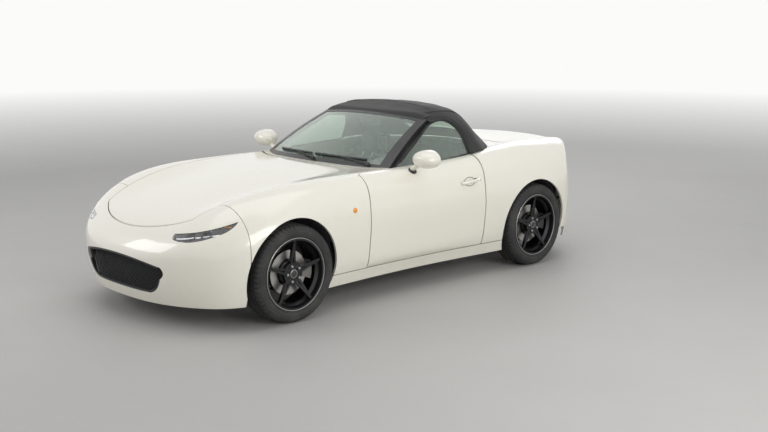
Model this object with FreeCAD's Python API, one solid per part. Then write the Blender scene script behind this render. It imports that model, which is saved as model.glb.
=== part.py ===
"""Two-seat roadster with a fabric folding top, shown closed.

Units are millimetres. X runs across the car with the car's left side at +X, Y runs along it with the nose
at -Y, and Z is up. The origin is on the ground, under the middle of the car's overall box.

The painted panels are all cut from one body skin. The skin is a formula: a top, a side, a front and a rear
surface, each drawn by a few character lines, rounded into each other. Every panel samples that same skin,
so neighbouring panels stay flush, and their shut lines are outlines cut through them.
"""
import FreeCAD
import Part
import math
import os
from FreeCAD import Vector as V

os.makedirs("parts", exist_ok=True)

# Overall size
overall_length = 3915.0
half_width = 867.0
roof_height = 1230.0
wheelbase = 2310.0
front_overhang = 760.0
front_track = 1495.0
rear_track = 1505.0

# Wheels and tyres, 205/45 R17 on a 7 inch rim
tyre_radius = 308.0
tyre_width = 205.0
bead_radius = 216.0
flange_radius = 227.0
rim_half_width = 92.0
wheel_offset = 45.0
spoke_pairs = 5

# Arches and steering
front_arch_radius = 352.0
rear_arch_radius = 346.0
kingpin_inboard = 66.0
kingpin_lean = 11.0

# Rear number plate bolts and exhaust tips
plate_recess = 42.0
plate_height = 455.0
plate_hole_radius = 3.2
plate_hole_spacing = 178.0
tip_radius = 38.0
tip_height = 222.0
tip_places = (-400.0, -300.0)

# Panels
skin_thickness = 16.0
shut_gap = 5.0
door_front_gap = 8.0
door_inner_x = 664.0
lid_gap = 14.0
cowl_gap = 20.5
sill_bottom = 152.0
sill_top = 232.0
sill_inner_x = 640.0
glass_thickness = 5.0
hood_thickness = 14.0
seat_clearance = 0.3

# Stations along the car
nose_y = -overall_length / 2
tail_y = overall_length / 2
front_axle_y = nose_y + front_overhang
rear_axle_y = front_axle_y + wheelbase
bumper_split_y = front_axle_y - 330.0
door_front_y = front_axle_y + 650.0
door_rear_y = rear_axle_y - 560.0
screen_base_y = front_axle_y + 780.0
screen_top_y = front_axle_y + 1385.0
bonnet_rear_y = screen_base_y - 62.0
boot_front_y = rear_axle_y + 50.0
tail_split_y = rear_axle_y + 410.0
axle_height = tyre_radius


class Line:
    """A smooth character line through a few (place, value) points, straight beyond its ends."""

    def __init__(self, *points):
        self.at = [p[0] for p in points]
        self.value = [p[1] for p in points]
        n = len(points)
        gap = [self.at[i + 1] - self.at[i] for i in range(n - 1)]
        rise = [(self.value[i + 1] - self.value[i]) / gap[i] for i in range(n - 1)]
        bend = [0.0] * n
        share = [0.0] * n
        load = [0.0] * n
        for i in range(1, n - 1):
            pivot = 2 * (gap[i - 1] + gap[i]) - gap[i - 1] * share[i - 1]
            share[i] = gap[i] / pivot
            load[i] = (6 * (rise[i] - rise[i - 1]) - gap[i - 1] * load[i - 1]) / pivot
        for i in range(n - 2, 0, -1):
            bend[i] = load[i] - share[i] * bend[i + 1]
        self.gap, self.rise, self.bend = gap, rise, bend

    def __call__(self, place):
        last = len(self.gap) - 1
        if place <= self.at[0]:
            slope = self.rise[0] - self.gap[0] * self.bend[1] / 6
            return self.value[0] + slope * (place - self.at[0])
        if place >= self.at[-1]:
            slope = self.rise[last] + self.gap[last] * self.bend[last] / 6
            return self.value[-1] + slope * (place - self.at[-1])
        i = 0
        while place > self.at[i + 1]:
            i += 1
        a = self.at[i + 1] - place
        b = place - self.at[i]
        h = self.gap[i]
        cubic = (self.bend[i] * a ** 3 + self.bend[i + 1] * b ** 3) / (6 * h)
        left = (self.value[i] / h - self.bend[i] * h / 6) * a
        right = (self.value[i + 1] / h - self.bend[i + 1] * h / 6) * b
        return cubic + left + right


def rounded_max(a, b, radius):
    """The larger of two distances, rounded where they are within radius of each other."""
    near = max(radius - abs(a - b), 0.0) / radius
    return max(a, b) + near * near * radius / 4


def blend_step(value, start, end):
    """0 before start, 1 after end, smooth between."""
    share = min(max((value - start) / (end - start), 0.0), 1.0)
    return share * share * (3 - 2 * share)


def hump(distance, spread):
    return math.exp(-((distance / spread) ** 2))


# Character lines of the body: heights along the centre, heights and places of the wing crowns,
# and the widest half-width in plan
centre_height = Line(
    (nose_y, 560), (nose_y + 120, 622), (nose_y + 350, 700), (front_axle_y, 782),
    (front_axle_y + 300, 828), (screen_base_y, 862), (door_rear_y, 884),
    (rear_axle_y, 898), (tail_y - 250, 893), (tail_y, 872))
crown_height = Line(
    (nose_y, 540), (nose_y + 260, 668), (front_axle_y - 200, 772), (front_axle_y, 808),
    (front_axle_y + 300, 826), (door_front_y, 830), (0, 834), (door_rear_y - 40, 858),
    (rear_axle_y - 200, 893), (rear_axle_y, 906), (rear_axle_y + 250, 902), (tail_y - 220, 880),
    (tail_y, 846))
crown_x = Line(
    (nose_y, 560), (front_axle_y - 200, 640), (front_axle_y, 665), (door_front_y, 725),
    (0, 745), (door_rear_y, 735), (rear_axle_y, 690), (tail_y, 600))
plan_half_width = Line(
    (nose_y, 842), (front_axle_y - 320, 846), (front_axle_y, 843), (front_axle_y + 420, 829),
    (0, 831), (door_rear_y, 840), (rear_axle_y, 846), (rear_axle_y + 350, 838), (tail_y, 815))
nose_plan_drop = 335.0
tail_plan_drop = 400.0
widest_height = 520.0
bumper_height = 430.0


def side_x(y, z):
    """Half-width of the body side at one place."""
    above = (z - widest_height) / 330.0
    tuck = 52.0 if z > widest_height else 46.0
    flare = half_width - 845.0
    middle = hump(y - (front_axle_y + rear_axle_y) / 2, 700.0)
    waist = middle * (12.0 * hump(z - 395.0, 110.0) + 38.0 * blend_step(330.0 - z, 0.0, 180.0))
    arch = hump(y - front_axle_y, 300.0) + hump(y - rear_axle_y, 320.0)
    return plan_half_width(y) - tuck * above * above - waist + flare * arch * hump(z - 560.0, 330.0)


def top_z(x, y):
    """Height of the bonnet, the wing crowns and the rear deck at one place."""
    fall = 7.5e-5 * x * x
    ridge_x = crown_x(y)
    ridge = crown_height(y) - (centre_height(y) - 7.5e-5 * ridge_x * ridge_x)
    across = (abs(x) - ridge_x) / 165.0
    return centre_height(y) - fall + (ridge + 14.0) * math.exp(-across * across)


def front_y(x, z):
    lean = (z - bumper_height) / 200.0
    back = 62.0 * lean * lean if z > bumper_height else 30.0 * lean * lean
    return nose_y + nose_plan_drop * (abs(x) / 820.0) ** 2.7 + back


def rear_y(x, z):
    lip = 34.0 * hump(z - 860.0, 60.0)
    back = 70.0 * ((z - bumper_height) / 420.0) ** 2
    return tail_y - tail_plan_drop * (abs(x) / 820.0) ** 2.3 - back + lip


def body_skin(x, y, z):
    """Negative inside the body below the waist and positive outside."""
    wrap = rounded_max(z - top_z(x, y), abs(x) - side_x(y, z), 120.0)
    wrap = rounded_max(wrap, (front_y(x, z) - y) * 0.8, 150.0)
    return rounded_max(wrap, (y - rear_y(x, z)) * 0.9, 70.0)


# Character lines of the fabric top
roof_line = Line(
    (screen_top_y - 60, roof_height - 75), (screen_top_y, roof_height - 56),
    (screen_top_y + 150, roof_height - 14), (screen_top_y + 290, roof_height),
    (screen_top_y + 430, roof_height - 14), (rear_axle_y - 380, roof_height - 58),
    (rear_axle_y - 250, roof_height - 146), (rear_axle_y - 130, roof_height - 245),
    (rear_axle_y - 25, roof_height - 340), (rear_axle_y + 60, roof_height - 425))
hood_base_x = Line(
    (door_front_y, 694), (screen_top_y, 706), (door_rear_y - 60, 712),
    (door_rear_y + 60, 706), (rear_axle_y - 250, 676), (rear_axle_y, 612))


def hood_side_x(y, z):
    return hood_base_x(y) - 0.50 * (z - 850.0)


def hood_skin(x, y, z):
    """Negative under the fabric top and positive above it."""
    wrap = 190.0 * (abs(x) / 600.0) ** 2.6 * blend_step(y, screen_top_y + 180, rear_axle_y - 330)
    roof = roof_line(y + wrap) - 1.25e-4 * x * x
    return rounded_max(z - roof, abs(x) - hood_side_x(y, z), 130.0)


def hit(skin, start, way, reach=1600.0):
    """Where a ray that starts inside the skin leaves it."""
    low, high = 0.0, reach
    f_low = skin(*start)
    f_high = skin(*(start + way * high))
    for trial in range(60):
        share = 0.5 if trial % 3 == 2 else f_low / (f_low - f_high)
        t = low + (high - low) * share
        f = skin(*(start + way * t))
        if abs(f) < 0.002:
            break
        if f < 0:
            low, f_low = t, f
        else:
            high, f_high = t, f
    return start + way * t


def outward(skin, point):
    """Unit normal of the skin at a point on it."""
    d = 2.0
    f = [skin(point.x + a, point.y + b, point.z + c) - skin(point.x - a, point.y - b, point.z - c)
         for a, b, c in ((d, 0, 0), (0, d, 0), (0, 0, d))]
    return V(*f).normalize()


def surface(grid):
    made = Part.BSplineSurface()
    made.interpolate(grid)
    return made


def thick_patch(outer, inner):
    """A closed solid between two grids of points of the same size."""
    over, under = surface(outer), surface(inner)
    u0, u1, v0, v1 = over.bounds()
    a0, a1, b0, b1 = under.bounds()
    rims = [(over.uIso(u0), under.uIso(a0)), (over.uIso(u1), under.uIso(a1)),
            (over.vIso(v0), under.vIso(b0)), (over.vIso(v1), under.vIso(b1))]
    sides = [Part.makeRuledSurface(one.toShape(), other.toShape()) for one, other in rims]
    shell = Part.makeShell([over.toShape(), under.toShape()] + sides)
    shell.sewShape()
    solid = Part.makeSolid(Part.Shell(shell.Faces))
    if solid.Volume < 0:
        solid.reverse()
    return solid


def spread(start, end, count):
    return [start + (end - start) * i / (count - 1) for i in range(count)]


def skin_patch(skin, rays, thickness, raised=0.0):
    """A thick patch of a skin: rays is a grid of (start, way), and the inside is offset along the normals."""
    outer, inner = [], []
    for row in rays:
        points = [hit(skin, start, way) for start, way in row]
        normals = [outward(skin, p) for p in points]
        outer.append([p + n * raised for p, n in zip(points, normals)])
        inner.append([p - n * thickness for p, n in zip(points, normals)])
    return thick_patch(outer, inner)


def ray_fan(stations, elevations, height):
    """Rays in upright planes: each station is (x, y, heading in degrees), 0 heading to +X and 90 to +Y."""
    grid = []
    for x, y, heading in stations:
        c, s = math.cos(math.radians(heading)), math.sin(math.radians(heading))
        row = []
        for lift in elevations:
            e = math.radians(lift)
            row.append((V(x, y, height), V(c * math.cos(e), s * math.cos(e), math.sin(e))))
        grid.append(row)
    return grid


def rays_up(xs, ys, height):
    return [[(V(x, y, height), V(0, 0, 1)) for x in xs] for y in ys]


def mirrored(shape):
    return shape.mirror(V(0, 0, 0), V(1, 0, 0))


def box(x0, x1, y0, y1, z0, z1):
    return Part.makeBox(x1 - x0, y1 - y0, z1 - z0, V(x0, y0, z0))


def rod(start, end, radius, bore=0.0):
    """A round bar between two points."""
    way = end - start
    bar = Part.makeCylinder(radius, way.Length, start, way)
    if bore:
        bar = bar.cut(Part.makeCylinder(bore, way.Length, start, way))
    return bar


def path_edges(runs):
    """Edges from runs of points: two points make a line and more make a smooth curve."""
    edges = []
    for run in runs:
        if len(run) == 2:
            edges.append(Part.makeLine(run[0], run[1]))
        else:
            curve = Part.BSplineCurve()
            curve.interpolate(run)
            edges.append(curve.toShape())
    return edges


def prism(runs, way):
    """A solid swept from a flat closed outline given as runs of points."""
    face = Part.Face(Part.Wire(path_edges(runs)))
    return face.extrude(way)


def run_directions(run):
    """Direction of travel at each point of a flat run."""
    if len(run) == 2:
        dx, dy = run[1][0] - run[0][0], run[1][1] - run[0][1]
        size = math.hypot(dx, dy)
        return [(dx / size, dy / size)] * 2
    points = [V(a, b, 0) for a, b in run]
    curve = Part.BSplineCurve()
    curve.interpolate(points)
    ways = []
    for p in points:
        t = curve.tangent(curve.parameter(p))[0]
        ways.append((t.x, t.y))
    return ways


def grown(runs, gap):
    """The same closed outline moved outwards by a gap, with its corners kept sharp."""
    if not gap:
        return runs
    ring = [p for run in runs for p in run[:-1]]
    area = sum(a[0] * b[1] - b[0] * a[1] for a, b in zip(ring, ring[1:] + ring[:1]))
    turn = 1.0 if area > 0 else -1.0
    ways = [run_directions(run) for run in runs]
    sides = [[(w[1] * turn, -w[0] * turn) for w in way] for way in ways]
    result = []
    for i, run in enumerate(runs):
        moved = [(p[0] + n[0] * gap, p[1] + n[1] * gap) for p, n in zip(run, sides[i])]
        before, after = sides[i - 1][-1], sides[(i + 1) % len(runs)][0]
        for place, own, other in ((0, sides[i][0], before), (-1, sides[i][-1], after)):
            share = gap / (1.0 + own[0] * other[0] + own[1] * other[1])
            moved[place] = (run[place][0] + (own[0] + other[0]) * share,
                            run[place][1] + (own[1] + other[1]) * share)
        result.append(moved)
    return result


def plan_prism(runs, grow=0.0, low=-100.0, high=1500.0):
    """An outline in plan, swept upwards, grown outwards by a gap."""
    return prism([[V(x, y, low) for x, y in run] for run in grown(runs, grow)], V(0, 0, high - low))


def side_prism(runs, grow=0.0, x0=300.0, x1=1000.0):
    """An outline in side view, swept across the left half, grown outwards by a gap."""
    return prism([[V(x0, y, z) for y, z in run] for run in grown(runs, grow)], V(x1 - x0, 0, 0))


def joined(shapes):
    result = shapes[0]
    if len(shapes) > 1:
        result = result.fuse(shapes[1:])
    return result.removeSplitter()


def largest(shape):
    """The biggest solid of a shape, without the offcuts that a trim leaves."""
    return sorted(shape.Solids, key=lambda solid: solid.Volume)[-1]


def save(name, *shapes):
    """Writes one node."""
    kept = []
    for s in shapes:
        kept.extend(s.Solids)
    bad = [s for s in kept if not s.isValid() or s.Volume <= 0]
    if bad or not kept:
        print("CHECK", name, len(kept), "solids", len(bad), "bad")
    shape = kept[0] if len(kept) == 1 else Part.makeCompound(kept)
    shape.exportStep("parts/" + name + ".step")


# Skeleton that the rays start from
spine_x = 400.0
nose_turn_y = nose_y + 430.0
tail_turn_y = tail_y - 430.0
lower_height = 380.0
crown_ray_height = 430.0

front_arch = Part.makeCylinder(front_arch_radius, 620, V(380, front_axle_y, axle_height), V(1, 0, 0))
rear_arch = Part.makeCylinder(rear_arch_radius, 620, V(380, rear_axle_y, axle_height), V(1, 0, 0))

# Bonnet outline in plan
bonnet_front_x, bonnet_back_x = 478.0, 648.0
bonnet_nose = 108.0
bonnet_corner_y = nose_y + 262.0
bonnet_sweep = 176.0
cowl_half_x = 650.0


def bonnet_outline():
    front = [(-bonnet_front_x, bonnet_corner_y), (-300, nose_y + bonnet_nose + 52),
             (0, nose_y + bonnet_nose), (300, nose_y + bonnet_nose + 52),
             (bonnet_front_x, bonnet_corner_y)]
    rear_corner_y = bonnet_rear_y + bonnet_sweep
    right = [(bonnet_front_x, bonnet_corner_y), (bonnet_front_x + 88, front_axle_y - 60),
             (bonnet_back_x, rear_corner_y)]
    rear = [(x, bonnet_edge_y(x)) for x in spread(bonnet_back_x, -bonnet_back_x, 9)]
    left = [(-bonnet_back_x, rear_corner_y), (-bonnet_front_x - 88, front_axle_y - 60),
            (-bonnet_front_x, bonnet_corner_y)]
    return [front, right, rear, left]


def bonnet_edge_y(x):
    """Where the bonnet's rear edge runs."""
    return bonnet_rear_y + bonnet_sweep * (x / bonnet_back_x) ** 2


def cowl_outline():
    """Plan outline of the space behind the bonnet's rear edge."""
    x = cowl_half_x
    front = [(a, bonnet_edge_y(a)) for a in spread(-x, x, 9)]
    return [front, [front[-1], (x, 0)], [(x, 0), (-x, 0)], [(-x, 0), front[0]]]


def boot_half_x(y):
    return 556.0 - 0.05 * (y - boot_front_y)


def boot_outline():
    x0, x1, y1 = boot_half_x(boot_front_y), boot_half_x(tail_y), tail_y + 60
    return [[(-x0, boot_front_y), (x0, boot_front_y)], [(x0, boot_front_y), (x1, y1)],
            [(x1, y1), (-x1, y1)], [(-x1, y1), (-x0, boot_front_y)]]


# Side view outline of the door up to the waist
def door_outline(grow=0.0):
    low, top = sill_top + shut_gap - grow, 1000.0
    front, rear = door_front_y - grow, door_rear_y + grow
    corner = 24.0
    return [[(front, low), (rear - corner, low)],
            [(rear - corner, low), (rear - corner * 0.29, low + corner * 0.29), (rear, low + corner)],
            [(rear, low + corner), (rear, top)], [(rear, top), (front, top)], [(front, top), (front, low)]]


# Headlamp and grille outlines seen from the front
def lamp_outline():
    return [[(452, 590), (560, 604), (690, 640), (742, 668)],
            [(742, 668), (742, 640), (726, 612)],
            [(726, 612), (640, 568), (540, 552), (470, 560)],
            [(470, 560), (455, 570), (452, 590)]]


def mouth_outline():
    return [[(-420, 392), (-200, 428), (0, 436), (200, 428), (420, 392)],
            [(420, 392), (438, 360), (410, 318)],
            [(410, 318), (352, 238), (300, 218)],
            [(300, 218), (-300, 218)],
            [(-300, 218), (-352, 238), (-410, 318)],
            [(-410, 318), (-438, 360), (-420, 392)]]


def front_prism(runs, grow=0.0, y0=nose_y - 60.0, y1=bumper_split_y - 12.0):
    """An outline in front view, swept along the car."""
    return prism([[V(x, y0, z) for x, z in run] for run in grown(runs, grow)], V(0, y1 - y0, 0))


def side_stations(y0, y1, count):
    return [(spine_x, y, 0.0) for y in spread(y0, y1, count)]


def nose_stations():
    side = side_stations(bumper_split_y + 30, nose_turn_y, 3)[:-1]
    corner = [(spine_x, nose_turn_y, a) for a in spread(0, -90, 7)]
    across = [(x, nose_turn_y, -90.0) for x in spread(spine_x, 0, 5)[1:]]
    half = side + corner + across
    return half + [(-x, y, -180.0 - a) for x, y, a in reversed(half[:-1])]


def tail_stations():
    side = side_stations(tail_split_y - 30, tail_turn_y, 3)[:-1]
    corner = [(spine_x, tail_turn_y, a) for a in spread(0, 90, 7)]
    across = [(x, tail_turn_y, 90.0) for x in spread(spine_x, 0, 4)[1:]]
    half = side + corner + across
    return half + [(-x, y, 180.0 - a) for x, y, a in reversed(half[:-1])]


hood_centre_y = door_rear_y + 30.0
deck_half_x = 558.0
bulkhead_y = rear_axle_y - 470.0

bonnet_cut = plan_prism(bonnet_outline(), shut_gap + 0.4, 380, 1100)
boot_cut = plan_prism(boot_outline(), shut_gap + 1.0, 630, 1100)

# Bonnet and boot lid turn about cross axes a little under the panels
bonnet_hinge_x = 585.0
bonnet_hinge_y = bonnet_edge_y(bonnet_hinge_x) - 28.0
lid_axis_depth = 16.0
bonnet_hinge_z = top_z(bonnet_hinge_x, bonnet_hinge_y) - lid_axis_depth
boot_hinge_x = 470.0
boot_hinge_y = boot_front_y + 28.0
boot_hinge_z = top_z(boot_hinge_x, boot_hinge_y) - lid_axis_depth
lamp_cut = front_prism(lamp_outline(), 1.0)


def make_front_bumper():
    rays = ray_fan(nose_stations(), spread(-38, 80, 17), lower_height)
    shell = skin_patch(body_skin, rays, skin_thickness)
    shell = shell.common(box(-1000, 1000, nose_y - 100, bumper_split_y - shut_gap, 150, 900))
    tools = [bonnet_cut, front_arch, mirrored(front_arch), lamp_cut, mirrored(lamp_cut)]
    mouth = front_prism(mouth_outline(), 0.0, nose_y - 60, nose_y + 500)
    return shell.cut(tools + [mouth])


def make_grille():
    """A dark lattice behind the mouth: a rim and slats on the same curve as the nose."""
    rays = ray_fan([s for s in nose_stations() if abs(s[2] + 90) < 1], spread(-33, 20, 8), lower_height)
    plate = skin_patch(body_skin, rays, 46.0, -6.0)
    inside = plate.common(front_prism(mouth_outline(), -seat_clearance, nose_y - 60, nose_y + 500))
    hole = front_prism(mouth_outline(), -14.0, nose_y - 60, nose_y + 500)
    rim = inside.cut(hole)
    low, high, slats = 226.0, 430.0, 9
    bars = [box(-440, 440, nose_y, nose_y + 300, z - 3.5, z + 3.5) for z in spread(low, high, slats)[1:-1]]
    posts = [box(x - 4, x + 4, nose_y, nose_y + 300, 200, 440) for x in spread(-300, 300, 5)]
    core = skin_patch(body_skin, rays, 44.0, -20.0)
    core = core.common(front_prism(mouth_outline(), -1.0, nose_y - 60, nose_y + 500))
    lattice = core.common(Part.makeCompound(bars + posts))
    return joined([rim] + lattice.Solids)


def make_headlamps():
    """The clear covers and the dark units behind them, left side."""
    rays = ray_fan(nose_stations()[:11], spread(-5, 44, 10), lower_height)
    cover = skin_patch(body_skin, rays, 6.0, -1.0).common(front_prism(lamp_outline(), 0.7))
    unit = skin_patch(body_skin, rays, 60.0, -7.3).common(front_prism(lamp_outline(), 0.7))
    bowls = [rod(V(x, nose_y + 40, z), V(x, nose_y + y, z), 24.0)
             for x, z, y in ((560, 580, 268), (640, 600, 318))]
    return cover, unit.cut(bowls)


def nose_line(x, back):
    return nose_y + back + nose_plan_drop * (abs(x) / 820.0) ** 2.7


def make_bonnet():
    """Bonnet with the eyes of its two rear hinges."""
    xs = spread(-690, 690, 19)
    rays = []
    for t in spread(0, 1, 13):
        rays.append([(V(x, nose_line(x, 80) * (1 - t) + (screen_base_y + 190) * t, 380), V(0, 0, 1))
                     for x in xs])
    shell = skin_patch(body_skin, rays, skin_thickness)
    shell = shell.common(plan_prism(bonnet_outline(), 0.0, 380, 1100))
    return with_hinge_eyes(shell, bonnet_hinge_x, bonnet_hinge_y, bonnet_hinge_z, 1)


def with_hinge_eyes(panel, x, y, z, edge_way):
    """Adds two eyes on a cross axis under a panel, with a slot to the panel's edge for each bracket."""
    for side in (1, -1):
        low, high = sorted((side * x, side * (x - 14)))
        eye = rod(V(low, y, z), V(high, y, z), 7.0).fuse(box(low, high, y - 6, y + 6, z, z + 9))
        start, end = sorted((side * x, side * (x + 20)))
        near, far = sorted((y, y + 44 * edge_way))
        room = rod(V(start, y, z), V(end, y, z), 11.0).fuse(box(start, end, near, far, z - 60, z + 7))
        panel = panel.fuse(eye).cut(room)
        panel = panel.cut(rod(V(side * (x - 20), y, z), V(side * (x + 4), y, z), 4.3))
    return panel


def make_hinge_brackets(x, y, z, foot_y, foot_z):
    """Body half of a pair of lid hinges: an upright plate with a pin through the eye."""
    parts = []
    for side in (1, -1):
        pin = rod(V(side * (x - 14), y, z), V(side * (x + 6), y, z), 4.0)
        low, high = sorted((side * (x + 5), side * (x + 15)))
        head = rod(V(side * (x + 5), y, z), V(side * (x + 15), y, z), 6.0)
        leg = prism([[V(low, y - 6, z), V(low, y + 6, z)], [V(low, y + 6, z), V(low, foot_y + 14, foot_z)],
                     [V(low, foot_y + 14, foot_z), V(low, foot_y - 14, foot_z)],
                     [V(low, foot_y - 14, foot_z), V(low, y - 6, z)]], V(high - low, 0, 0))
        parts.append(joined([head, leg, pin]))
    return parts


def make_wing():
    """Left front wing, back to the door, with a tongue beside the bonnet that the door swings past."""
    rays = ray_fan(side_stations(bumper_split_y - 20, hinge_y + 10, 13), spread(-30, 84, 14),
                   crown_ray_height)
    shell = skin_patch(body_skin, rays, skin_thickness)
    keep = box(300, 1000, bumper_split_y, door_front_y - door_front_gap, sill_top + shut_gap, 1000)
    tongue = box(300, hinge_x, door_front_y - door_front_gap - 1, hinge_y - 6, 700, 1000)
    tongue = tongue.cut(Part.makeCylinder(door_arc_radius + shut_gap + 1, 1000, V(hinge_x, hinge_y, 0)))
    cowl = plan_prism(cowl_outline(), 3.0, 380, 1100)
    return largest(shell.common(keep.fuse(tongue)).cut([bonnet_cut, front_arch, cowl, lamp_cut]))


# Door hinges: an upright pin on the body at each of two heights, inside a pocket in the door's front edge
hinge_y = door_front_y + 95.0
hinge_x = side_x(hinge_y, widest_height) - 24.0
hinge_heights = (475.0, 605.0)
hinge_pin_radius = 5.0
hinge_eye_radius = 9.5
hinge_half_height = 30.0
door_arc_radius = 134.0
door_ray_angles = (-56, -40, -24, -8, 8, 24, 36, 46, 54, 60, 66, 71, 76, 80.5, 85, 90)
post_x = 652.0


def door_top_z(y):
    return top_z(crown_x(y), y)


def make_door():
    """Left door: outer skin over the full wall, its front edge cut to an arc about its hinge."""
    outer, inner = [], []
    for y in spread(door_front_y - 20, door_rear_y + 20, 9):
        rays = [V(math.cos(math.radians(a)), 0, math.sin(math.radians(a))) for a in door_ray_angles]
        row = [hit(body_skin, V(door_inner_x + 2, y, crown_ray_height), way) for way in rays]
        low, high = row[0].z, row[-1].z
        outer.append(row)
        inner.append([V(door_inner_x - 2, y, 100 + (high - 130) * (p.z - low) / (high - low)) for p in row])
    door = thick_patch(outer, inner).common(side_prism(door_outline()))
    front = door_front_y - 20
    swing = box(500, 900, front, hinge_y, 100, 1000)
    swing = swing.cut(Part.makeCylinder(door_arc_radius, 1000, V(hinge_x, hinge_y, 50)))
    rear_wedge = plan_prism([[(900, door_rear_y + 1), (600, door_rear_y - 20)],
                             [(600, door_rear_y - 20), (600, door_rear_y + 40)],
                             [(600, door_rear_y + 40), (900, door_rear_y + 40)],
                             [(900, door_rear_y + 40), (900, door_rear_y + 1)]], 0.0, 100, 1000)
    half = hinge_half_height
    pockets = [box(600, hinge_x + hinge_eye_radius + 0.5, front, hinge_y + 13, z - half, z + half)
               for z in hinge_heights]
    door = door.cut([swing, rear_wedge] + pockets)
    eyes = []
    for z in hinge_heights:
        for low in (z - half - 0.5, z + 12):
            eye = rod(V(hinge_x, hinge_y, low), V(hinge_x, hinge_y, low + 18.5), hinge_eye_radius)
            arm = box(hinge_x - 8, hinge_x + 9, hinge_y, hinge_y + 16, low, low + 18.5)
            eyes.append(eye.fuse(arm))
    pins = [rod(V(hinge_x, hinge_y, z - 45), V(hinge_x, hinge_y, z + 45), hinge_pin_radius + seat_clearance)
            for z in hinge_heights]
    return largest(joined([door] + eyes).cut(pins))


def make_door_hinges():
    """Body half of the left hinges: a leaf from the post out to the pin."""
    parts = []
    back = (hinge_x - post_x) * math.tan(math.radians(20.0))
    half = hinge_half_height
    x = post_x + seat_clearance
    for z in hinge_heights:
        pin = rod(V(hinge_x, hinge_y, z - half), V(hinge_x, hinge_y, z + half), hinge_pin_radius)
        leaf = plan_prism([[(hinge_x, hinge_y + 5), (hinge_x, hinge_y - 5)],
                           [(hinge_x, hinge_y - 5), (x, hinge_y - back - 10)],
                           [(x, hinge_y - back - 10), (x, hinge_y - back + 10)],
                           [(x, hinge_y - back + 10), (hinge_x, hinge_y + 5)]], 0.0, z - 11.7, z + 11.7)
        parts.append(pin.fuse(leaf))
    return parts


def make_sill():
    """Left sill, from the front arch back to the rear one, with a flat underside to lift the car by."""
    outer, inner = [], []
    heights = spread(sill_bottom - 12, sill_top, 5)
    for y in spread(front_axle_y + 250, rear_axle_y - 230, 9):
        outer.append([V(side_x(y, z), y, z) for z in heights])
        inner.append([V(sill_inner_x, y, z) for z in heights])
    slab = thick_patch(outer, inner)
    return slab.cut([front_arch, rear_arch, box(0, 1000, front_axle_y, rear_axle_y, 0, sill_bottom)])


def make_quarter():
    """Left rear wing: from the door back over the haunch to the tail, round the corner to the boot lid."""
    side = side_stations(door_rear_y - 20, tail_turn_y, 11)[:-1]
    corner = [(spine_x, tail_turn_y, a) for a in spread(0, 90, 7)]
    across = [(x, tail_turn_y, 90.0) for x in (380.0, 340.0)]
    rays = ray_fan(side + corner + across, spread(-40, 82, 15), crown_ray_height)
    shell = skin_patch(body_skin, rays, skin_thickness)
    keep_side = box(300, 1000, door_rear_y + shut_gap, tail_split_y, sill_top + shut_gap, 1000)
    keep_tail = box(300, 1000, tail_split_y - 1, tail_y + 50, 645, 1000)
    shell = shell.common(joined([keep_side, keep_tail]))
    well = plan_prism(deck_opening(), 0.0, 380, 1100)
    deck = box(-deck_half_x - 3, deck_half_x + 3, 0, boot_front_y + 2, 700, 1100)
    return largest(shell.cut([boot_cut, rear_arch, well, deck, tail_lamp_prism(seat_clearance)]))


def hood_foot(inset, heading):
    """Where the hood's surface meets the body, on a ray in plan from the middle of the cabin."""
    c, n = math.cos(math.radians(heading)), math.sin(math.radians(heading))
    low, high = 0.0, 900.0
    while high - low > 1e-6:
        r = (low + high) / 2
        x, y = r * c, hood_centre_y + r * n
        if hood_skin(x, y, top_z(x, y) + 1.0) < 0:
            low = r
        else:
            high = r
    return (low - inset) * c, hood_centre_y + (low - inset) * n


def deck_opening(inset=24.0):
    """Plan outline of the well under the hood: the hood's own foot, moved in a little."""
    rear = [hood_foot(inset, a) for a in spread(4, 176, 23)]
    y0 = door_rear_y - 100
    right, left = (rear[-1][0], y0), (rear[0][0], y0)
    return [rear, [rear[-1], right], [right, left], [left, rear[0]]]


def tail_lamp_prism(grow=0.0):
    """Outline of the tail lamp seen from behind, swept along the car."""
    runs = [[(548, 705), (575, 742), (640, 752), (705, 742), (752, 712)],
            [(752, 712), (700, 676), (640, 664), (575, 670), (548, 705)]]
    return front_prism(runs, grow, tail_y - 420.0, tail_y + 60.0)


def make_tail_lamp():
    corner = [(spine_x, tail_turn_y, a) for a in spread(10, 90, 8)]
    across = [(x, tail_turn_y, 90.0) for x in (380.0, 320.0)]
    rays = ray_fan(corner + across, spread(10, 60, 9), crown_ray_height)
    return skin_patch(body_skin, rays, 46.0, 1.0).common(tail_lamp_prism())


def make_boot_lid():
    """Boot lid with its lip and the upright panel between the lamps."""
    outer, inner = [], []
    centre_y = tail_y - 600.0
    for s in spread(-1, 1, 11):
        row, back = [], []
        for lift in spread(120, 8, 20):
            e = math.radians(lift)
            x = s * 575.0
            p = hit(body_skin, V(x, centre_y, 560), V(0, math.cos(e), math.sin(e)))
            n = outward(body_skin, p)
            row.append(p)
            back.append(p - n * skin_thickness)
        outer.append(row)
        inner.append(back)
    shell = thick_patch(outer, inner)
    return shell.common(plan_prism(boot_outline(), 0.0, 636, 1100))


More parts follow.
